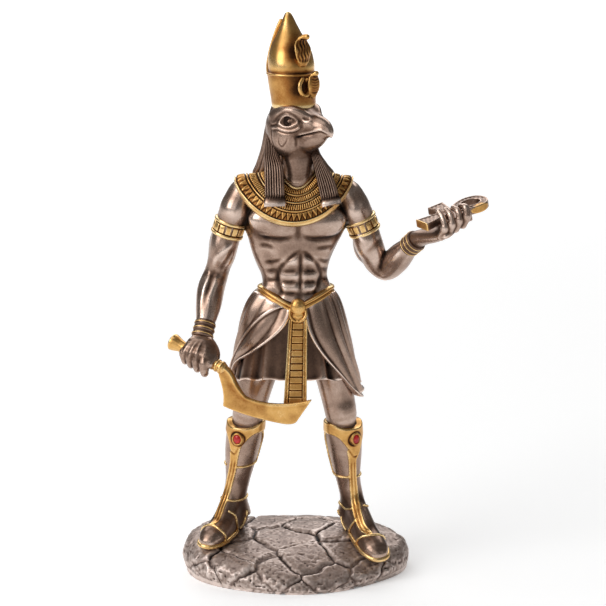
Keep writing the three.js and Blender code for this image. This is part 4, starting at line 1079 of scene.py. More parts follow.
# %% Lines of the trim, picked off each boot
BOOT_LINES = {
    "right": dict(
        ridge=[(-31.5, -8.3, 53), (-32, -7.4, 47), (-33.2, -5, 39), (-34.8, -1.5, 31), (-36.2, -1, 24),
               (-38.2, -4, 18.6), (-40.5, -8.9, 15.4), (-42.5, -13.3, 12.0)],
        apex=-0.40, low=50.5, rise=11.0, spread=0.55,
        corner=[(-34.6, -4, 56), (-33, -6.4, 52), (-31.7, -8.2, 49.6), (-29.6, -9, 52.6),
                (-27.6, -9.6, 55.6)],
        strap_1=[(-31.5, -5.5, 41.6), (-27, -5.4, 42.2), (-22, -2, 43), (-20.4, 3, 43.6), (-24, 9.5, 43.6),
                 (-30, 11, 43.2), (-36, 7, 42.4), (-36.4, -1, 41.8)],
        strap_2=[(-35, -2, 21.6), (-32.6, -2.8, 21.8), (-28.9, 0.4, 22), (-25.5, 4.6, 22.2), (-27, 11, 22.4),
                 (-33, 13, 22.2), (-37, 8, 21.8), (-37.4, 1, 21.6)],
        back=[(-17.3, -3.5, 60.9), (-17.8, 0, 55), (-18.4, 1.6, 50), (-20.2, 3, 44)],
        ankle=[(-35.4, -5.7, 16.2), (-32.4, -5.2, 14.1), (-31, -5, 10.4), (-30.4, -2, 5.4), (-30, -2, 3)],
        counter=[(-26, 4.6, 14), (-26.6, 4.4, 9), (-28, 1.5, 4.4)],
        cap=[(-52.6, -8.5, 1.5), (-51, -9.5, 6), (-46.5, -12.5, 10), (-43, -15, 11.2), (-39.6, -17.4, 9.7),
             (-36.8, -17, 6.2), (-36, -17, 1.5)],
    ),
    "left": dict(
        ridge=[(31.4, -7, 51), (31.6, -6.4, 45.8), (32.1, -4.6, 37), (32.7, -2.6, 27.7), (33.8, -3.8, 20.4),
               (35.6, -9, 14.4), (37.6, -14.4, 10), (40.6, -18.6, 8)],
        apex=0.6, low=46.4, rise=14.0, spread=0.6,
        corner=[(27.8, -8.4, 53.6), (30.3, -7.5, 51), (33, -7.5, 47.6), (34.6, -3.6, 50),
                (35.6, -1.4, 53)],
        strap_1=[(30.5, -5, 35.7), (26.2, -4.4, 35.5), (22, 0, 36), (21.6, 5, 36.4), (26, 10.6, 36.4),
                 (32, 10.6, 36), (36, 5, 35.6), (35, -2, 35.4)],
        strap_2=[(33.4, -3.4, 17), (29.6, 0.6, 16.8), (26.2, 3.4, 17.6), (25.2, 9, 17.6), (30, 14, 17.2),
                 (36, 11, 16.8), (37.4, 4, 16.6), (36, -3, 16.4)],
        back=[(17.6, -2.5, 60), (18.3, -0.5, 55), (19.2, 1, 47), (20.6, 2.4, 41), (21.6, 3.4, 36.4)],
        ankle=[(35, -9.5, 14), (33.2, -9.4, 11.6), (31.4, -7.5, 8.6), (30.2, -3, 4.9), (29.6, -1, 2.5)],
        counter=[(27.4, 8, 13), (26.4, 5, 8), (27, 2, 3)],
        cap=[(33.8, -15, 0.6), (34.6, -15.8, 2.6), (36.2, -18.4, 5.8), (38.8, -19.8, 7.3), (42, -20.2, 7.6),
             (46, -18, 7.2), (50, -14.4, 5), (51.6, -12.6, 1.5)],
    ),
}


def plate_shape(leg, lines):
    """Where the gilt top plate lies: from the top edge down to a border that falls in a smooth V."""
    rows = shaft_rows(leg)

    def shape(x, y, z):
        """How far outside the plate's height a point is, mm."""
        mx, my = curve(rows[:, 0], rows[:, 1:3], z.ravel()).T[:, None, None, :]
        angle = np.arctan2(x - mx, -(y - my))
        away = np.abs((angle - lines["apex"] + np.pi) % (2 * np.pi) - np.pi)
        border = SOLE + lines["low"] + lines["rise"] * (1 - np.exp(-((away / lines["spread"]) ** 2)))
        return np.maximum(border - z, z - top_edge(leg, x, y, mx, my) - 0.3)

    return shape


# %% Make both legs
def figure_points(rows):
    """Rows of figure places as an array in millimetres from the table."""
    return np.array([at(*row) for row in rows])


def seat_of(leg):
    """The middle of a boot's cabochon, and the way it faces."""
    return mix(leg["top"], leg["calf"], 0.48) + face_of(leg) * 10.6, face_of(leg)


TRIM_LIFT, CORD = 0.65, 0.7  # gilding over the boot, and the cords' radius, mm
RIDGE = np.array([3.4, 2.6, 2.5, 2.5, 2.7, 2.8, 2.4, 1.9])[:, None]  # half width, knee to toe


def boot_trim(clay, leg, lines):
    """The gilt casting of one boot: top plate, ridge, straps, cords and the welt round the toe."""
    trim = trim_on(clay, TRIM_LIFT)
    low, high = leg["calf"] - (16, 16, 6), leg["top"] + (16, 16, 4)
    trim.form(plate_shape(leg, lines), low, high, 0.4)
    ridge = clay.settle(figure_points(lines["ridge"]), 0.6)
    trim.limb(np.hstack([ridge, RIDGE, RIDGE]), blend=0.8, spacing=1.0)
    close_trim(trim)
    for name in ("strap_1", "strap_2", "back", "ankle", "counter", "cap"):
        cord_on(trim, clay, figure_points(lines[name]), CORD)
    # The welt is an arc round the toe, laid on the boot just over the ground.
    ahead, across, _, long = foot_ways(leg)
    angle = np.linspace(-2.2, 2.2, 34)[:, None]
    sole = leg["heel"] + ahead * long * (0.62 + 0.41 * np.cos(angle)) + across * 8.0 * np.sin(angle)
    sole[:, 2] = ground(sole[:, 0], sole[:, 1]) + 1.2
    sole = clay.settle(sole, 0.1)
    sole[:, 2] = ground(sole[:, 0], sole[:, 1]) + 1.3
    trim.limb(np.hstack([sole, np.full((len(sole), 2), 1.35)]), side=(0, 0, 1), blend=0.4)
    # Two grooves run down the ridge, deeper from the ankle on.
    for shift in (-0.95, 0.95):
        groove = beside(trim, ridge[1:], shift)
        trim.stroke(groove, 0.48, 0.6, settle=False, taper=0.1)
        trim.stroke(groove[len(groove) // 2 :], 0.6, 0.55, settle=False, taper=0.15)
    trim.stroke(trim.settle(figure_points(lines["corner"])), 0.5, 0.6, settle=False, taper=0.2)
    return trim


LEG_CELL, TRIM_CELL = 0.8, 0.47  # cubes of the grids, mm: the trim's lines are finer
for name, leg in (("right", RIGHT_LEG), ("left", LEFT_LEG)):
    points, faces = leg_clay(leg, LEG_CELL).skin()
    low_down = 0.12 * (1 - ease(points[:, 2], SOLE + 6, SOLE + 44))
    bronze_part(f"{name}_leg_and_boot", [(points, faces)], rounds=7, broad=11, shade=low_down)
    points, faces = boot_trim(leg_clay(leg, TRIM_CELL), leg, BOOT_LINES[name]).skin()
    round_stone = 0.5 * bump(np.linalg.norm(points - seat_of(leg)[0], axis=1), 3.9, 0.55)
    gilt_part(f"{name}_boot_gilding", [(points, faces)], rounds=11, wash=1.8, shade=round_stone)

# %% [markdown]
# ## The falcon's head
# The head looks towards his left shoulder, so it is modelled straight ahead in its own block of clay and
# turned at the end. Skull, bill and jaw are limbs along the face: ovals that change as they go ahead.
# The tool then cuts what makes the mask: the lids, the line through the eye, the drop below it, the
# edge of the cheek and the mouth.

# %% Directions of the head
HEAD_TURN, CROWN_LEAN = math.radians(45), math.radians(5)
SKULL = at(-1, -1, 226)
AHEAD = np.array([math.sin(HEAD_TURN), -math.cos(HEAD_TURN), 0])
ASIDE = np.array([-math.cos(HEAD_TURN), -math.sin(HEAD_TURN), 0])
CROWN_UP = np.array([0, 0, math.cos(CROWN_LEAN)]) + math.sin(CROWN_LEAN) * np.cross(ASIDE, (0, 0, 1))


def to_head(place):
    """A place of the figure in the head's own coordinates."""
    away = np.asarray(place) - SKULL
    return np.array([away @ AHEAD, away @ ASIDE, away[2]])


# %% Skull, bill, jaw and neck
head = Clay((-15, -17, -30), (33, 17, 15), 0.38, SKULL, [AHEAD, ASIDE, (0, 0, 1)])
head.limb([
    [-1.2, 0, -1.4, 12.2, 13], [2, 0, -1.5, 12.7, 14.3], [5, 0, -1.7, 11.6, 13.2],
], side=(0, 1, 0), blend=1, spacing=0.8)
head.limb([
    [8, 0, 1.0, 7.4, 7.0], [14, 0, 0.6, 6.7, 6.8], [18, 0, 0.4, 5.9, 6.2], [21.5, 0, 0.1, 5.0, 5.5],
    [24.5, 0, -0.5, 3.9, 4.4], [26.8, 0, -1.4, 2.8, 3.1], [28.3, 0, -2.4, 1.7, 1.9],
    [29.0, 0, -3.7, 0.9, 0.9],
], side=(0, 1, 0), blend=2.6, spacing=0.6)
head.limb([
    [7, 0, -6.9, 7.8, 7.3], [14, 0, -6.4, 6.4, 6.5], [18, 0, -5.6, 5.2, 5.2], [21, 0, -4.7, 4.1, 3.8],
    [24.2, 0, -3.8, 2.8, 2.2], [26.2, 0, -3.7, 1.5, 1.1],
], side=(0, 1, 0), blend=1.2, spacing=0.6)
head.limb([
    [3, 0, -9, 9, 8.4], [*to_head(at(2.6, -3.4, 207)), 8.4, 8], [*to_head(at(2.4, -0.6, 194)), 9.6, 9],
], side=(0, 1, 0), blend=3)

# %% Brows, cheeks and eyes
EYE_AHEAD, EYE_UP = 8.4, 2.9
for side in (-1, 1):
    head.limb([
        [-3, side * 8.6, 5.0, 2.6, 2.6], [4, side * 9.0, 7.6, 3, 3], [9.5, side * 7.8, 8.0, 2.9, 2.9],
        [13.4, side * 5.6, 6.8, 2.3, 2.3], [16, side * 4.2, 5.0, 1.5, 1.5],
    ], side=(0, 0, 1), blend=3, spacing=0.8)
    head.egg((2, side * 7.4, -7.6), (8.6, 5.2, 7.6), blend=3)
    head.egg((16.4, side * 4.4, 2.4), (3.6, 2.5, 2.5), blend=2)
    head.egg((EYE_AHEAD, side * 13.2, EYE_UP), (4.5, 2.9, 3.0), blend=0.7, carve=True)
    head.egg((EYE_AHEAD, side * 8.2, EYE_UP + 0.1), (3.1, 2.6, 2.2), blend=0.2)


# %% Carve the eyes
def both_cheeks(line, width, depth, **options):
    """The same tool stroke on both sides of the face; a line of ahead, aside and up."""
    for side in (-1, 1):
        head.stroke([(a, side * s, u) for a, s, u in line], width, depth, **options)


lid = [(3.2, 12.2, 1.6), (5.2, 11.6, 4.8), (8.2, 11, 6.1), (11.2, 9.8, 5.0), (13.2, 8.4, 2.7),
       (11.4, 10, 0.9), (8.6, 11.6, 0.2), (5.6, 12.2, 0.6), (3.2, 12.2, 1.6)]
both_cheeks(lid, 0.45, -0.45, taper=0)
for size in (1.3, 2.3):
    t = np.linspace(0, 6.3, 14)
    ring = np.stack([EYE_AHEAD + size * np.cos(t), 11.2 + 0 * t, EYE_UP + 0.8 * size * np.sin(t)], -1)
    both_cheeks(ring, 0.34, 0.5, taper=0)
behind_eye = [(3.0, 12.2, 1.6), (-0.5, 12.2, 0.4), (-3.6, 11.8, 0)]
both_cheeks(behind_eye, 0.5, 0.6)
brow_line = [(-1.2, 12, 1.4), (2.6, 11.8, 5.4), (8.2, 10.6, 7.8), (12.4, 8.8, 6.0), (14.6, 7.6, 3)]
both_cheeks(brow_line, 0.45, 0.35)
under_eye = np.array([(-2.4, 12, -1.2), (2.8, 12.4, -0.9), (6, 12.2, -1.7), (8.9, 11.6, -2.0),
                      (13.4, 9.4, -1.0), (15.7, 7, 2.0)])
both_cheeks(under_eye, 0.5, -0.5, taper=0.2)
both_cheeks(under_eye - (0, 0, 1.1), 0.45, 0.45, taper=0.2)

# %% Carve the cheeks, the mouth and the nostrils
tear_drop = [(4.1, 12.4, -3.9), (3.7, 11.6, -8.8), (4.6, 11.2, -10), (7.5, 11, -7.6), (8.7, 11.4, -4.2)]
both_cheeks(tear_drop, 0.36, 0.5)
cheek_edge = [(-2.4, 12, 0.2), (-1.8, 12.2, -2.8), (-1.6, 11.9, -7.9), (0.4, 10.4, -12.6)]
both_cheeks(cheek_edge, 0.55, 0.6)
jaw_edge = [(12.4, 9.6, -4.2), (12.6, 9, -7.5), (11.6, 8, -11.4)]
both_cheeks(jaw_edge, 0.7, 0.55)
mouth = np.array([(12.4, 8.7, -5.1), (13.9, 7.9, -4.7), (15, 7.2, -4.3), (16.8, 6.2, -3.8), (19.5, 5.2, -3.1),
                  (22.3, 4.2, -2.1), (25.6, 3, -1.7), (27.4, 2.2, -2.6), (28.6, 1.6, -3.4)])
both_cheeks(mouth[:4], 0.6, 0.7, taper=0.4)
both_cheeks(mouth, 0.4, 0.8, taper=0.12)
both_cheeks(mouth + (0, 0, 1.15), 0.6, -0.6, taper=0.15)
bill_root = [(13.8, 8.2, 4.4), (14.8, 7.2, 2.0), (14.6, 7.6, -1.4)]
both_cheeks(bill_root, 0.9, 0.5)
nostril = [(16.2, 5.8, 4.4), (17.6, 5.2, 4.0)]
both_cheeks(nostril, 0.7, 1.0, taper=0)

# %% The head's mesh, with wash pooled in the eyes and the corners of the mouth
points, faces = head.skin()
a, s, u = ((points - SKULL) @ np.array([AHEAD, ASIDE, (0, 0, 1)]).T).T
eye = 0.17 * (1 - ease(np.hypot(a - EYE_AHEAD, u - EYE_UP), 1.6, 3.4))
mouth_corner = 0.3 * bump(np.hypot(a - 13.4, u + 4.7), 0, 1.6)
pooled = 0.05 + (eye + mouth_corner) * (np.abs(s) > 6)
bronze_part("falcon_head", [(points, faces)], rounds=18, broad=30, shade=pooled)

# %% [markdown]
# ## The hands
# Each finger is a thin limb through its joints. They are joined with a very small fillet, so that a dark
# line stays between them. The right fist closes round the hilt, and the left hand lies open under
# the ankh.

# %% Where the hilt is held
POMMEL, HILT_END = at(-61.4, -13, 111.4), at(-36.4, -27.5, 101.5)
HILT = unit(HILT_END - POMMEL)
HOLD = 3.1  # radius of the grip, mm


def on_grip(share):
    """A place on the hilt's axis, a share of the way from the pommel to the blade."""
    return mix(POMMEL, HILT_END, share)


# %% Palm and fingers of the fist
fist = Clay(on_grip(0.5) - (22, 20, 18), RIGHT["wrist"] + (13, 12, 4), 0.37)
wrist = RIGHT["wrist"]
KNUCKLE = unit((-0.1, -0.95, -0.3)) * (HOLD + 1.9)
palm = on_grip(0.42) + 0.7 * KNUCKLE + (0, 0, 1.5)
fist.limb([
    [*(wrist + (0.6, 1.6, 3)), 4.5, 4.4],
    [*wrist, 4.5, 4.2],
    [*(mix(wrist, palm, 0.45) + (0.2, -1, 1.4)), 6.2, 3.6],
    [*palm, 7.4, 3.2],
    [*(on_grip(0.44) + (0, 0, -1.5)), 6.6, 3.4],
], side=HILT, blend=1)
for i, share in enumerate((0.19, 0.32, 0.455, 0.61)):
    thick = 2.1 + 0.1 * i
    root = on_grip(share) + KNUCKLE
    joints_of = [
        root + (0, 0.6, 1), root + (0.2, -0.2, -2.4 - 0.2 * i), root + (0.4, 1.8, -4.6 - 0.3 * i),
        root + (0.6, 5.4, -5.2 - 0.2 * i), root + (0.8, 8.4, -3.2),
    ]
    finger = [[*p, thick * (1 - 0.06 * k), thick * (1 - 0.06 * k)] for k, p in enumerate(joints_of)]
    fist.limb(finger, side=HILT, blend=0.35, spacing=1.0)
    back = wrist + (-2.6 + 1.7 * i, -1.5, -1)
    bone = [*back, 2.0, 2.0], [*(mix(back, root, 0.5) + (0, -0.7, 0.7)), 2.2, 2.2], [*root, 2.2, 2.2]
    fist.limb(bone, side=HILT, blend=1.8)
    half_way = mix(back, root, 0.5)
    tendon = [back + (0, -3, 0), half_way + (0, -2.6, 1.4), root + (0, -2, 0), root + (0, -2, -3)]
    fist.stroke(tendon, 0.7, -0.4)

# %% Thumb and web of the fist
fist.limb([
    [*(wrist + (2.6, -1.5, -0.5)), 2.8, 2.8], [*(wrist + (6.0, -4.6, -4.6)), 3.1, 3.1],
    [*(wrist + (6.9, -9, -8)), 2.9, 2.9], [*(wrist + (4.6, -12.8, -10.6)), 2.3, 2.3],
], side=HILT, blend=2.0, spacing=1.2)
web = [[*(wrist + (2.5, -4, -2)), 4, 3.6], [*(on_grip(0.66) + (0.2, -2.0, 2.4)), 3.8, 3.0]]
fist.limb(web, side=HILT, blend=2)
bronze_part("right_fist", [fist.skin()], rounds=15, broad=15, wash=0.8, shade=0.05)

# %% The open hand
hand = Clay(at(58, -44, 160), at(96, -4, 190), 0.38)
ACROSS_PALM = unit((0.86, -0.12, 0.5))
hand.limb([
    [*(LEFT["wrist"] + (-2.6, 3.8, -2.4)), 4.4, 4.6],
    [*LEFT["wrist"], 4.4, 4.6],
    [*at(70, -21, 170.4), 5.6, 3.8],
    [*at(75.6, -26.5, 172.8), 6.6, 3.3],
    [*at(80.4, -31, 175), 6.8, 2.6],
], side=ACROSS_PALM, blend=1)
thumb = [at(69.5, -13.5, 170), at(78, -10.5, 174), at(86, -9, 176.2), at(90.5, -9, 177.4)]
thumb = [[*p, 2.7 - 0.2 * k, 2.7 - 0.2 * k] for k, p in enumerate(thumb)]
hand.limb(thumb, side=(0, 0, 1), blend=1.4, spacing=1.2)
for i in range(4):
    root = at(76.4 + 3.7 * i, -33.0 - 0.1 * i, 172.4 + 2.1 * i)
    steps = [(-0.8, 0.4, -0.6), (1.0, -1.9, 4.4), (0.2, -1.3, 9.0), (-2.0, 1.6, 12.6 - 1.2 * i)]
    finger = [[*(root + np.array(s)), t, t] for s, t in zip(steps, (2.0, 1.85, 1.7, 1.5))]
    hand.limb(finger, side=ACROSS_PALM, blend=0.3, spacing=1.0)
    hand.egg(root + np.array(steps[1]), (1.8, 1.8, 1.8), blend=1.5)
bronze_part("left_hand", [hand.skin()], rounds=17, broad=28, shade=0.03)

# %% [markdown]
# ## The double crown
# Both crowns are turned bodies about one leaning axis: a flared cap with a raised lip, and the bottle
# shape that stands in it. The tall back and the two rearing cobras are clay.

# %% Turn the crown
CROWN_FOOT = at(0.4, -1, 235.5)


def on_crown(up, out, aside=0.0):
    """A place on the crown: up its axis, out to the front and aside to his right."""
    return CROWN_FOOT + CROWN_UP * up + AHEAD * out + ASIDE * aside


profile = np.array([
    [-0.9, 10.6], [-0.6, 11.4], [3, 11.6], [8, 12.1], [13, 12.6], [16, 12.8], [16.6, 13.3], [17.2, 13.2],
    [17.5, 12.2], [18.0, 11.9], [21, 12.1], [26.5, 11.4], [32, 9.3], [37.5, 6.4], [42.5, 4.0], [45.5, 2.7],
    [47.4, 1.7], [48.3, 0.9], [48.55, 0.3],
])
ups = np.concatenate([np.linspace(-0.9, 16, 36), np.linspace(16.1, 18.4, 18), np.linspace(18.8, 48.55, 66)])
radii = curve(profile[:, 0], profile[:, 1:], ups)[:, 0]
angle = np.linspace(0, 2 * np.pi, 96, endpoint=False)
circle = np.cos(angle)[:, None] * AHEAD + np.sin(angle)[:, None] * ASIDE
rings = CROWN_FOOT + ups[:, None, None] * CROWN_UP + radii[:, None, None] * circle
up, aside = ups[:, None], (angle + np.pi) % (2 * np.pi) - np.pi
# Wash pools on the shaded side of both crowns, and under the lip.
pooled = 0.5 * bump(up, 28, 8) ** 2 * bump(aside, 0.62, 0.4)
pooled += 0.5 * bump(up, 10.5, 5.5) * bump(aside, 0.5, 0.45)
pooled += 0.04 + 0.12 * (1 - ease(up, 15, 18)) + 0.2 * bump(up, 18.2, 0.8)
pooled = np.concatenate([pooled.ravel(), [0, 0]])  # and none at the two poles
gilt_part("double_crown", [tube(rings)], rounds=18, wash=1.5, shade=pooled)

# %% The tall back
crest = Clay(on_crown(10, 0) - (18, 18, 10), on_crown(40, 0) + (20, 20, 10), 0.38)
# Rows of [up, how far behind the axis, half width, half thickness].
TALL_BACK = (
    (12, 10.6, 6.5, 1.6), (18, 11.4, 7.2, 1.6), (27, 10.4, 6, 1.6), (34, 8.6, 4.4, 1.5),
    (40, 6.9, 2.6, 1.3), (43.6, 5.6, 1.2, 1.1),
)
tall_back = [[*on_crown(up, -behind), half, thick] for up, behind, half, thick in TALL_BACK]
crest.limb(tall_back, side=ASIDE, blend=0.5)


# %% The cobras
def hood(aside, thick, rows):
    """A cobra's hood: a flat limb up the front of the crown, by rows of up, out and half width."""
    crest.limb([[*on_crown(up, out, aside), half, thick] for up, out, half in rows], side=ASIDE, blend=0.5)


hood(3, 1.5, (
    (22.4, 11.6, 2.8), (25.4, 12.4, 4.8), (29.4, 12.4, 5.7), (33, 11.8, 5.0), (35.2, 12.2, 3.4),
    (36.4, 14, 2.3), (36.6, 15.8, 1.4),
))
for i in range(5):
    lean = -1.4 + 2.1 * i
    wave = [on_crown(up, 13.8, lean + 0.5 * math.sin(1.1 * up + 0.8 * i)) for up in np.arange(23.5, 36, 1.2)]
    crest.stroke(wave, 0.6, 1.5, taper=0.1)
turns = 0.4 + 1.7 * np.pi * np.arange(8) / 7
coil = [[*on_crown(10.8 + 4.4 * math.cos(t), 12.8, 3.8 + 3.7 * math.sin(t)), 1.05, 1.05] for t in turns]
crest.limb(coil, side=AHEAD, blend=0.4, spacing=1)
hood(-1.2, 1.4, ((6, 13.0, 2.2), (9.5, 14.2, 3.8), (13.4, 14.6, 4.0), (16.4, 14.8, 2.8), (17.8, 16.6, 1.5)))
for i in range(7):
    up = 7.4 + 1.4 * i
    rib = [on_crown(up + 0.9, 15, -4.6), on_crown(up, 16.2, -1.2), on_crown(up + 0.9, 15, 2.2)]
    crest.stroke(rib, 0.45, 0.8)
gilt_part("crest_and_cobras", [crest.skin()], rounds=12, wash=2.6, shade=0.12)

# %% [markdown]
# ## The striped headcloth
# The cloth hangs behind the head in locks and lies over each side of the chest as a lappet with a hem
# band. Each is a tube along a path, and its section has one lobe for each lock.

# %% Curtain
# Rows of [height, middle x, middle y, half width, half depth].
curtain = np.array([
    [238, -0.7, 2.2, 9, 9.4], [237, -0.7, 2.2, 9.6, 10], [224, -1.8, 4, 12.6, 11],
    [211, -1.8, 5.2, 15.2, 10.4], [204, -0.8, 6.6, 18.4, 9.2], [198, 0.2, 7.8, 21.4, 8.4],
    [189, 0.6, 9.4, 21, 7.4], [180, 0.9, 11.2, 18, 5.6], [176, 1, 12, 16, 4.6], [175, 1, 12, 14.6, 3.6],
])
heights = np.linspace(238, 175, 70)
mx, my, wide, deep = curve(-curtain[:, 0], curtain[:, 1:], -heights).T[:, :, None]
angle = np.linspace(0, 2 * np.pi, 240, endpoint=False)[None]
lobes = np.abs(np.sin(13 * angle)) ** 0.7
swell = 1 + (1.1 * lobes - 0.7) / 14
rings = np.stack([mx + wide * swell * np.cos(angle), my + deep * swell * np.sin(angle),
                  SOLE + heights[:, None] + 0 * angle], -1)
bronze_part("headcloth_curtain", [tube(rings)], rounds=7, wash=1.5, shade=0.1)


# %% Lappets
def lappet(name, rows, locks=8):
    """A flat strap down the chest: a box-like section with one lobe for each lock, and a hem band."""
    line = path([[*at(x, y, z), wide, 2.8] for x, y, z, wide in rows], 0.9)
    share = np.linspace(0, 1, len(line))[:, None]
    section = rounded(190, 2.7)
    across = np.clip(section[:, 0], -1, 1)
    ridge = np.abs(np.sin(0.5 * np.pi * locks * (across + 1))) ** 0.5
    hem = ease(share, 0.88, 0.89)
    low = 0.27 * (1 - ridge) * (1 - hem) + 0.16 * bump(share, 0.89, 0.01) - 0.14 * bump(share, 0.955, 0.035)
    sections = np.stack([section[:, 0] * (1 - 0.4 * low), section[:, 1] * (1 - low)], -1)
    rings = sweep(line, (1, 0, 0), sections)
    # Painted shade: the whole lappet is darkened, and its flat hem band more.
    shade = np.concatenate([(0.11 + 0.13 * hem + 0 * ridge).ravel(), [0, 0]])
    bronze_part(name, [tube(rings)], rounds=10, wash=1.3, shade=shade, sharp=70)


lappet("right_lappet", [
    (-9.8, 1, 225, 2.6), (-11.4, -4, 216, 3.3), (-11.4, -7.6, 210, 3.8), (-10, -11.6, 204, 5.2),
    (-9.6, -14.6, 196, 5.5), (-9.3, -17.4, 185, 5.7),
])
lappet("left_lappet", [
    (9.5, -2, 216, 2.3), (11.2, -5, 211.5, 2.6), (13.4, -8, 206, 3.2), (17, -12, 197, 4.8),
    (20, -15.8, 185.4, 5.2),
])

# %% [markdown]
# ## The bead collar
# The collar is a broad ring that lies over shoulders and chest. Its height over the skin is a function
# of how far out a point is and of the angle: plain rims, rows of long beads between them, and a row of
# triangles near the edge.

# %% The collar's surface over the shoulders
ACROSS = 66  # points from the neck to the outer rim
shares = np.concatenate([[0.0, 0.0], np.linspace(0, 1, ACROSS), [1.012, 1.02, 0.9]])
angle = np.linspace(0, 2 * np.pi, 560, endpoint=False)[None]
angle = angle - 0.3 * np.cos(angle)  # closer together in front, where the beads are seen
share = shares[:, None]
front, rear = np.maximum(0, -np.sin(angle)), np.maximum(0, np.sin(angle))
x = 2.4 - 2.2 * share + (9 + 21.6 * share) * np.cos(angle)
y = np.where(front > 0, 9.5 + 8.8 * share**0.55, 9 + 6.4 * share**0.6) * np.sin(angle)
z = 200 - 4.6 * share**1.6 - share * (12.8 * front**1.3 + 15 * rear**1.4) - 7 * front**2


# %% Rims, beads and triangles
def bead_row(low, high, count):
    """A row of upright beads between two rims: each lobe of |sin| is one bead."""
    row = ease(share, low, low + 0.03) * (1 - ease(share, high - 0.03, high))
    return row * np.abs(np.sin(count * angle / 2)) ** 0.8


rims = sum(bump(share, middle, 0.017) for middle in (0.02, 0.24, 0.46, 0.70, 0.97))
beads = bead_row(0.05, 0.21, 84) + bead_row(0.27, 0.43, 104) + bead_row(0.49, 0.67, 124)
phase = (angle * 60 / (2 * np.pi)) % 1
tooth = np.abs(2 * phase - 1)
toothed = ease(share, 0.735, 0.75) * (1 - ease(share, 0.92, 0.935))
triangles = ease(tooth - (share - 0.74) / 0.19, -0.08, 0.08) * toothed
relief = 0.8 + 1.2 * np.clip(rims, 0, 1) + 1.05 * beads + 0.8 * triangles - 0.5 * ease(share, 0.98, 1.0)

# %% The collar's mesh
edge = np.concatenate([[-6, -1.5], np.zeros(ACROSS), [-0.3, -1.2, -3.5]])[:, None]  # both rims turn in
relief = np.where(edge < 0, edge, relief)
out = np.stack(np.broadcast_arrays(0.35 * np.cos(angle), 0.85 * np.sin(angle), 0.75 + 0 * share), -1)
out = out / np.linalg.norm(out, axis=-1, keepdims=True)
skin = np.stack([x, y, z + SOLE], -1)
# Where the flesh would poke through, the collar is pushed out over it.
sunk = np.clip(0.3 - flesh.read(skin.reshape(-1, 3)).reshape(x.shape), 0, 2.5) * (edge > -1)
rings = skin + (relief + sunk)[..., None] * out
gilt_part("bead_collar", [tube(rings)], rounds=9, wash=2.0, shade=0.1)

# %% [markdown]
# ## Kilt, belt and sash
# The kilt's wrap is a slab of cloth: an outer and an inner surface, joined at all four edges. A point
# of it comes from the angle round the hips and the share of the way down. Folds are waves that grow
# towards the hem. Under the open front lies a pleated panel.

# %% Where cloth hangs
def waistline(angle):
    """The waist falls in a straight V to the buckle at the front."""
    return 138.4 - 8.6 * (np.cos(angle) > 0) * np.maximum(0, 1 - np.abs(np.sin(angle)) / 0.92)


KILT_TOP, HEM, HEM_RISE = 137, 88.5, 4.5  # heights; the hem is higher in front by its rise


def on_kilt(angle, share, hem, out):
    """Cloth at an angle from the front to his left, a share of the way to the hem, pushed out."""
    drop = (KILT_TOP - hem) * share
    left = 19 + 2.6 * (1 - np.exp(-drop / 4)) + 0.225 * drop
    right = 19.3 + 4.6 * (1 - np.exp(-drop / 5)) + 0.2 * drop
    wide = np.where(angle > 0, left, right)
    deep = 13 + np.where(np.cos(angle) > 0, 6.4, 6) * share**0.7
    z = mix(waistline(angle) - 1, hem, share)
    x, y = TRUNK_X + (wide + out) * np.sin(angle), -(deep + out) * np.cos(angle)
    return np.stack([x, y, z + SOLE], -1)


def slab(outer, inner):
    """A closed sheet from two grids of points: both faces and the four edges between them."""
    n, m = outer.shape[:2]
    ids = np.arange(n * m).reshape(n, m)
    i, j = np.meshgrid(np.arange(n - 1), np.arange(m - 1), indexing="ij")
    face = np.stack([ids[i, j], ids[i, j + 1], ids[i + 1, j + 1], ids[i + 1, j]], -1).reshape(-1, 4)
    rim = np.concatenate([ids[0, :-1], ids[:-1, -1], ids[-1, :0:-1], ids[:0:-1, 0]])
    nxt = np.roll(rim, -1)
    border = np.stack([nxt, rim, rim + n * m, nxt + n * m], -1)
    return np.vstack([outer.reshape(-1, 3), inner.reshape(-1, 3)]), [face, (face + n * m)[:, ::-1], border]


# %% The wrap
share = np.linspace(0, 1, 68)[:, None]
# Both edges of the opening swing aside on their way down, and are rounded at the hem.
left_edge = 0.2 + 0.72 * share**2.2 + 0.22 * (1 - np.sqrt(1 - share**14))
right_edge = 0.12 + 1.6 * share**2 + 0.1 * (1 - np.sqrt(1 - share**14))
turn = left_edge + (2 * np.pi - left_edge - right_edge) * np.linspace(0, 1, 280)[None]
angle = np.where(turn > np.pi, turn - 2 * np.pi, turn)
side = np.where(angle > 0, left_edge, right_edge)
hem = HEM + HEM_RISE * np.cos(angle) - 9 * bump(angle, 1.3, 0.36) + 3.4 * bump(angle, -1.3, 0.35)
# Folds lean with the edges in front, fall straight behind and deepen towards the hem.
slant = np.abs(angle) - 0.8 * (side - side[0]) * (1 - ease(np.abs(angle), 1.5, 2.8))
ripple = np.where(angle > 0, 9.0, 7.5) * slant + 0.5 * np.sin(5 * slant + np.sign(angle))
fold = (0.35 + 0.75 * share**0.8) * (2 * np.abs(np.sin(ripple)) ** 0.9 - 1.1)
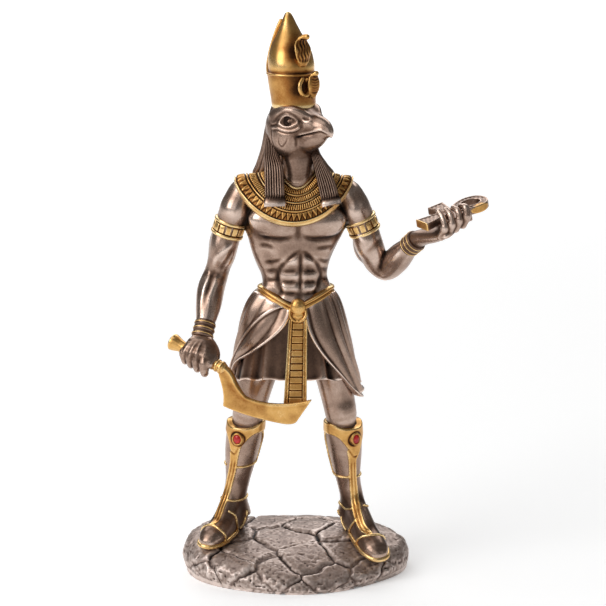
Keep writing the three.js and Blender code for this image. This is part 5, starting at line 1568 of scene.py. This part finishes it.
# A second layer of cloth lies over his right thigh, and the edges are rolled.
layer = np.abs(angle) - (0.27 + 1.42 * share**0.8)
second = (angle < 0) * (1 - ease(np.abs(angle), 1.9, 2.4)) * ease(layer, -0.015, 0.02)
from_edge = np.minimum(turn - left_edge, 2 * np.pi - right_edge - turn)
roll = 0.9 * bump(from_edge, 0.03, 0.045) + 0.6 * bump(share, 0.985, 0.02)
lifted = 1.5 + fold * ease(from_edge, 0.0, 0.12) + 0.8 * second + 0.5 * second * bump(layer, 0.05, 0.04)
outer = on_kilt(angle, share, hem, lifted + roll)
inner = on_kilt(angle, share, hem, lifted - 1.6 - 0.3 * roll)
bronze_part("kilt_wrap", [slab(outer, inner)], rounds=6, broad=8, sharp=65)

# %% The pleated panel in the gap
angle = mix(-right_edge - 0.25, left_edge + 0.25, np.linspace(0, 1, 120)[None])
pleat = share * (np.cos(13 * angle) + 0.5 * np.cos(23 * angle + 1))
pleat = pleat - 1.2 * np.abs(np.sin(6 * angle + 0.7)) ** 4 * share
hem = HEM + HEM_RISE * np.cos(angle) + 0.5 * np.cos(13 * angle)
outer = on_kilt(angle, share, hem, -0.6 + 0.7 * pleat + 0.15 * bump(share, 0.98, 0.015))
inner = on_kilt(angle, share, hem, -2.0 + 0.7 * pleat)
# Painted shade: the whole panel is darkened, as it lies back in shadow under the wrap.
bronze_part("under_skirt", [slab(outer, inner)], rounds=7, shade=0.18, sharp=65)

# %% Belt of two strands
drop = np.concatenate([[-2.5, -2.3], np.linspace(-2.1, 2.1, 28), [2.3, 2.5]])[:, None]
angle = np.linspace(0, 2 * np.pi, 280, endpoint=False)[None]
strands = np.sqrt(np.maximum(0, 1 - ((np.abs(drop) - 1.05) / 1.05) ** 2))
out = np.where(np.abs(drop) > 2.2, -2.2, 0.4 + 1.2 * strands) + 0 * angle
deep = 13 + 1.2 * np.maximum(0, np.cos(angle)) + out
height = waistline(angle) - drop + SOLE
rings = np.stack([TRUNK_X + (18.9 + out) * np.sin(angle), -deep * np.cos(angle), height], -1)
belt = tube(rings)

# %% Buckle
buckle = Clay(at(-3.5, -22, 119), at(9, -11, 140), 0.28)
buckle.egg(at(2.5, -15.6, 126.6), (3.9, 3.0, 4.6), blend=0.5)
buckle.limb([
    [*at(2.5 + 4.3 * math.sin(t), -17.3 - 1.1 * math.cos(t), 128.8 - 4.4 * math.cos(t)), 0.75, 0.75]
    for t in np.linspace(-1.9, 1.9, 9)
], blend=0.3, spacing=0.8)
buckle.egg(at(2.5, -16.2, 131.6), (4.1, 3.2, 4.7), blend=0.35)
for height in (125.6, 124.2):
    buckle.stroke([at(0.2, -18, height + 1.6), at(2.5, -18.6, height), at(4.8, -18, height + 1.6)], 0.35, 0.5)
gilt_part("belt_and_buckle", [belt, buckle.skin()], rounds=9, wash=1.4)

# %% Sash
RUNGS, FACE, BACK = 13, 46, 8  # rungs; points across the front and across the back
share = np.linspace(0, 1, 250)[:, None]
across = np.concatenate([np.linspace(-1, 1, FACE), np.linspace(1, -1, BACK)])[None]
back = np.concatenate([np.zeros(FACE), np.ones(BACK)])[None]
half = 3.8 + 1.1 * share
# Two grooved rails with rungs between them, and a plain end.
rail = ease(np.abs(across), 0.6, 0.65) - 0.45 * bump(np.abs(across), 0.8, 0.035)
rung = ease(np.abs(((share * RUNGS) % 1) - 0.5), 0.03, 0.12)
plain = ease(share, 0.955, 0.965)
gap = bump(np.abs(across), 0.58, 0.035)
face = 0.3 + 1.0 * np.maximum(rung, plain) * (1 - rail) - 0.5 * gap + 1.4 * rail
depth = np.where(back > 0, -1.2, face)
x = 2.6 - 1.6 * share + 1.25 * across * half
y = -17 - 7 * share**0.8 - depth
z = 125.5 - 45.5 * share + 0 * across + SOLE
gilt_part("sash", [tube(np.stack([x, y, z], -1))], rounds=6, wash=1.6, sharp=60)

# %% [markdown]
# ## Arm bands and bangles
# Rings round a limb: an oval square to the arm's line, scaled by a profile along the limb and, on the
# arm band, by square plates round it.

# %% Rings round a limb
def ring_band(a, b, wide, deep, profile, sides=160, plates=0, slot=0.0):
    """A closed band from a to b. Rows of `profile` are the share of the way and the height over the
    oval. With plates, a third value is 1 where the slots between them are cut, `slot` deep."""
    profile = np.array(profile, float)
    angle = np.linspace(0, 2 * np.pi, sides, endpoint=False)
    ahead = unit(b - a)
    u = unit(np.array([1.0, 0, 0]) - ahead * ahead[0])
    v = np.cross(ahead, u)
    places = mix(a, b, profile[:, :1])[:, None]
    lift = profile[:, 1:2] * np.ones((1, sides))
    if plates:
        cut = 1 - ease(np.abs(np.sin(plates * angle / 2)), 0.22, 0.45)
        lift = lift - slot * profile[:, 2:3] * cut[None]
    return tube(places + (wide + lift)[..., None] * np.cos(angle)[:, None] * u
                + (deep + lift)[..., None] * np.sin(angle)[:, None] * v)


# %% Arm bands
# Rows of [share of the way, height over the oval, whether slots are cut]: two rims, plates between.
band_profile = [
    [0, -2, 0], [0.0, 0.6, 0], [0.04, 1.0, 0], [0.14, 1.1, 0], [0.19, 0.8, 0], [0.21, 0.2, 0], [0.25, 0.1, 0],
    [0.28, 0.7, 1], [0.31, 0.8, 1], [0.69, 0.8, 1], [0.72, 0.7, 1], [0.75, 0.1, 0], [0.79, 0.2, 0],
    [0.81, 0.8, 0], [0.86, 1.1, 0], [0.96, 1.0, 0], [1, 0.6, 0], [1, -2, 0],
]
for name, arm in (("right", RIGHT), ("left", LEFT)):
    along_arm = unit(arm["middle"] - arm["shoulder"])
    start, end = arm["band"] - 4.4 * along_arm, arm["band"] + 4.4 * along_arm
    band = ring_band(start, end, 7.7, 8.0, band_profile, sides=240, plates=14, slot=1.0)
    gilt_part(f"{name}_arm_band", [band], rounds=10, wash=2.4, shade=0.06, sharp=50)

# %% Bangles, three on each wrist, with a gilt wire round each
ROUND = np.array([[0.5 + 0.5 * math.cos(t), 0.75 * math.sin(t)] for t in np.linspace(np.pi, 0, 8)])
ROUND = np.vstack([[0, -1.6], ROUND, [1, -1.6]])  # a half round section that reaches into the wrist
for name, arm, low, high in (("right", RIGHT, 0.745, 1.005), ("left", LEFT, 0.74, 1.0)):
    rings, wires = [], []
    for i in range(3):
        middle = mix(arm["elbow"], arm["wrist"], low + (high - low) * (0.2 + 0.3 * i))
        long = 0.15 * (high - low) * np.linalg.norm(arm["wrist"] - arm["elbow"])
        ahead = unit(arm["wrist"] - arm["elbow"])
        size = 4.95 + 0.06 * i
        start, end = middle - ahead * long, middle + ahead * long
        rings.append(ring_band(start, end, size, size, ROUND, sides=72))
        start, end = middle - ahead * 0.34, middle + ahead * 0.34
        wires.append(ring_band(start, end, size + 0.55, size + 0.55, ROUND * (1, 0.5), sides=72))
    bronze_part(f"{name}_bangles", rings, rounds=3, shade=0.2)
    gilt_part(f"{name}_bangle_wires", wires, rounds=2, shade=-0.15)

# %% [markdown]
# ## Sickle sword, ankh and cabochons
# The blade and the ankh are flat castings with softened edges. Their outline is a closed line; each
# point of the clay asks how far it is from that line, and from the middle plane.

# %% Flat castings
def bend(points, count=16):
    """Points on a Bezier curve: each corner weighs C(n, i) t^i (1 - t)^(n - i)."""
    points = np.asarray(points, float)
    n = len(points) - 1
    t = np.linspace(0, 1, count)[:, None]
    return sum(math.comb(n, i) * t**i * (1 - t) ** (n - i) * points[i] for i in range(n + 1))


def from_outline(corners, u, v):
    """Signed way to a closed line in a plane: the least way to its sides, less than 0 inside, where
    a ray crosses it an odd number of times."""
    best = np.full(np.broadcast_shapes(u.shape, v.shape), 1e9)
    inside = np.zeros(best.shape, bool)
    for (x0, y0), (x1, y1) in zip(corners, np.roll(corners, -1, axis=0)):
        dx, dy = x1 - x0, y1 - y0
        if dx * dx + dy * dy < 1e-12:
            continue
        t = np.clip(((u - x0) * dx + (v - y0) * dy) / (dx * dx + dy * dy), 0, 1)
        best = np.minimum(best, (u - x0 - t * dx) ** 2 + (v - y0 - t * dy) ** 2)
        if dy:
            inside ^= ((y0 > v) != (y1 > v)) & (u < dx * (v - y0) / dy + x0)
    return np.where(inside, -1, 1) * np.sqrt(best)


def soft_max(a, b, blend):
    """The larger of two distances, with an edge rounded over `blend`."""
    near = np.maximum(1 - np.abs(a - b) / blend, 0)
    return np.maximum(a, b) + near * near * blend / 4


# %% Sickle blade
across_blade = np.array([math.cos(0.12), -math.sin(0.12), 0])
back_edge = bend([(-2.6, 2.4), (-3.6, -5), (1.4, -9), (-0.2, -20)])
lower_edge = np.vstack([
    bend([(-0.2, -20), (12, -25.6), (32, -28.8)]), bend([(32, -28.8), (36.5, -29.2), (38.4, -27.6)], 6),
])
inner_edge = np.vstack([
    bend([(46.6, -15.2), (26, -21), (12.2, -14.6)]), bend([(12.2, -14.6), (9.2, -11.4), (6.6, -5)]),
    bend([(6.6, -5), (4.6, 0.6), (0, 2.6)]),
])
blade_outline = np.vstack([back_edge, lower_edge, inner_edge])
strip = np.vstack([inner_edge, inner_edge[::-1] + (0.01, -0.01)])


def blade_shape(u, w, v):
    """A plate 2.6 mm thick that thins to the rim, with a raised line along its inner edge."""
    plan = from_outline(blade_outline, u, v)
    inward = np.abs(from_outline(strip, u, v))
    neck = ease(v, -17, -8) * bump(inward, 1.5, 1.7)
    half = 1.3 + 0.34 * bump(inward, 0.9, 0.7) + 1.3 * neck - 0.25 * ease(plan, -2.2, 0)
    return soft_max(plan, np.abs(w) - half, 0.5 + 1.6 * neck)


blade_ways = [across_blade, np.cross((0, 0, 1), across_blade), (0, 0, 1)]
low, high = (-5, -3.4, -31), (49, 3.4, 4)
blade = Clay(low, high, 0.36, HILT_END, blade_ways)
blade.form(blade_shape, low, high, 0.5)

# %% Hilt
# Rows of [way along the hilt, radius]: pommel, grip and rings.
turned = np.array([
    [-3.1, 0.4], [-3.0, 3.4], [-2.8, 4.2], [-2.2, 4.5], [-1.2, 4.4], [1.2, 3.7], [3.2, 3.2], [5, 3.0],
    [22, 3.0], [23.6, 3.0], [24, 3.5], [24.8, 3.5], [25.2, 3.1], [26.4, 3.1], [26.8, 3.45], [27.4, 3.45],
    [27.8, 3.1], [28.8, 3.1], [29.2, 3.5], [30.0, 3.5], [30.5, 3.1], [31.6, 2.7], [32.4, 1.6], [32.6, 0.3],
])
BLADE_START = 30.6  # way along the rows at which the blade starts
reach = np.linspace(-3.1, 32.6, 160)
radius = curve(turned[:, 0], turned[:, 1:], reach)[:, 0]
axis = POMMEL + reach[:, None] * HILT * (np.linalg.norm(HILT_END - POMMEL) / BLADE_START)
hilt = sweep(np.column_stack([axis, radius, radius]), (0, 0, 1), rounded(48))
make_piece("sickle_sword", [blade.skin(), tube(hilt)], GOLD, "gilt", "khopesh", rounds=12)

# %% Ankh
ANKH_MIDDLE = at(80.9, -22, 182)
ANKH_ALONG = unit((0.83, 0.5, 0.245))
ANKH_ACROSS = unit(np.cross(ANKH_ALONG, (-0.07, -0.15, 0.98)))
ANKH_FACE = np.cross(ANKH_ACROSS, ANKH_ALONG)
LONG, WIDE, THICK = 41.0, 26.0, 4.2
stem, loop, waist, flare, half = 0.44 * LONG, 0.56 * LONG, 0.058 * LONG, 0.118 * LONG, 0.19 * LONG
one_side = np.vstack([
    [(-stem, flare), (-waist, waist), (-flare, WIDE / 2), (flare, WIDE / 2), (waist, waist)],
    bend([(waist, waist), (loop * 0.45, half * 1.35), (loop, half * 1.15), (loop, 0)]),
])
ankh_outline = np.vstack([one_side, one_side[::-1] * (1, -1)])
eye_start, eye_end, eye_half = waist + 0.084 * LONG, loop - 0.105 * LONG, half - 0.0756 * LONG
eye_side = bend([(eye_start, 0), (eye_end * 0.55, eye_half * 1.3), (eye_end, eye_half), (eye_end, 0)])
eye_outline = np.vstack([eye_side, eye_side[::-1] * (1, -1)])


def ankh_shape(u, v, w):
    """A plate with an eye cut out; inside a plain border its face is sunk, with low bars across."""
    plan = np.maximum(from_outline(ankh_outline, u, v), -from_outline(eye_outline, u, v))
    sunk = ease(-plan, 0.75, 1.05)
    bars = 0.5 + 0.5 * np.sin(u * 2.6) * np.cos(v * 1.7)
    return soft_max(plan, np.abs(w) - (THICK / 2 - 0.05 - sunk * (0.5 - 0.3 * bars)), 0.45)


low, high = (-19, -14, -2.6), (24, 14, 2.6)
ankh_ways = [ANKH_ALONG, ANKH_ACROSS, ANKH_FACE]
ankh = Clay(low, high, 0.37, ANKH_MIDDLE, ankh_ways)
ankh.form(ankh_shape, low, high, 0.4)
make_piece("ankh_casting", [ankh.skin()], BRONZE, "bronze_resin", "ankh", rounds=9, wash=1.4, shade=0.05)


# %% Gilding on the ankh
def gilt_shape(u, v, w):
    """What is gilt: a skin over the end of the stem and over the near side of the loop."""
    spot = np.sqrt(((u - 14.5) / 6) ** 2 + ((v - 7) / 4.2) ** 2 + (w / 2.2) ** 2) - 1
    return np.maximum(ankh_shape(u, v, w) - 0.15, np.minimum(u + stem - 0.7, 2 * spot))


gilding = Clay(low, high, 0.37, ANKH_MIDDLE, ankh_ways)
gilding.form(gilt_shape, low, high, 0.4)
make_piece("ankh_gilding", [gilding.skin()], GOLD, "gilt", "ankh", rounds=7)


# %% Cabochons in their bezels
def dome(centre, face, sizes, rows=28, sides=48):
    """An upright egg: half sizes across, out and up, from pole to pole."""
    tilt = np.linspace(0, np.pi, rows)[1:-1, None, None]
    turn = np.linspace(0, 2 * np.pi, sides, endpoint=False)[None, :, None]
    across = np.cross((0, 0, 1), face)
    ball = (sizes[0] * np.sin(tilt) * np.cos(turn) * across + sizes[1] * np.sin(tilt) * np.sin(turn) * face
            + sizes[2] * np.cos(tilt) * np.array([0, 0, 1.0]))
    return tube(centre + ball)


for name, leg in (("right", RIGHT_LEG), ("left", LEFT_LEG)):
    centre, face = seat_of(leg)
    stone = dome(centre + 0.55 * face, face, (2.1, 1.3, 2.5))
    make_piece(f"{name}_red_cabochon", [stone], RED, "red_stone", f"{name}_cabochon", rounds=3)
    turn = np.linspace(0, 2 * np.pi, 72, endpoint=False)[:, None]
    across = np.cross((0, 0, 1), face)
    ring = centre + 0.45 * face + 2.6 * np.cos(turn) * across + 3.05 * np.sin(turn) * np.array([0, 0, 1.0])
    rim_rows = np.column_stack([ring, np.full(72, 0.6), np.full(72, 1.0)])
    rim = sweep(rim_rows, ring - centre, rounded(20), closed=True)
    seat = dome(centre - 1.0 * face, face, (3.0, 1.5, 3.5))
    gilt_part(f"{name}_bezel", [tube(rim, closed=True), seat], rounds=5)
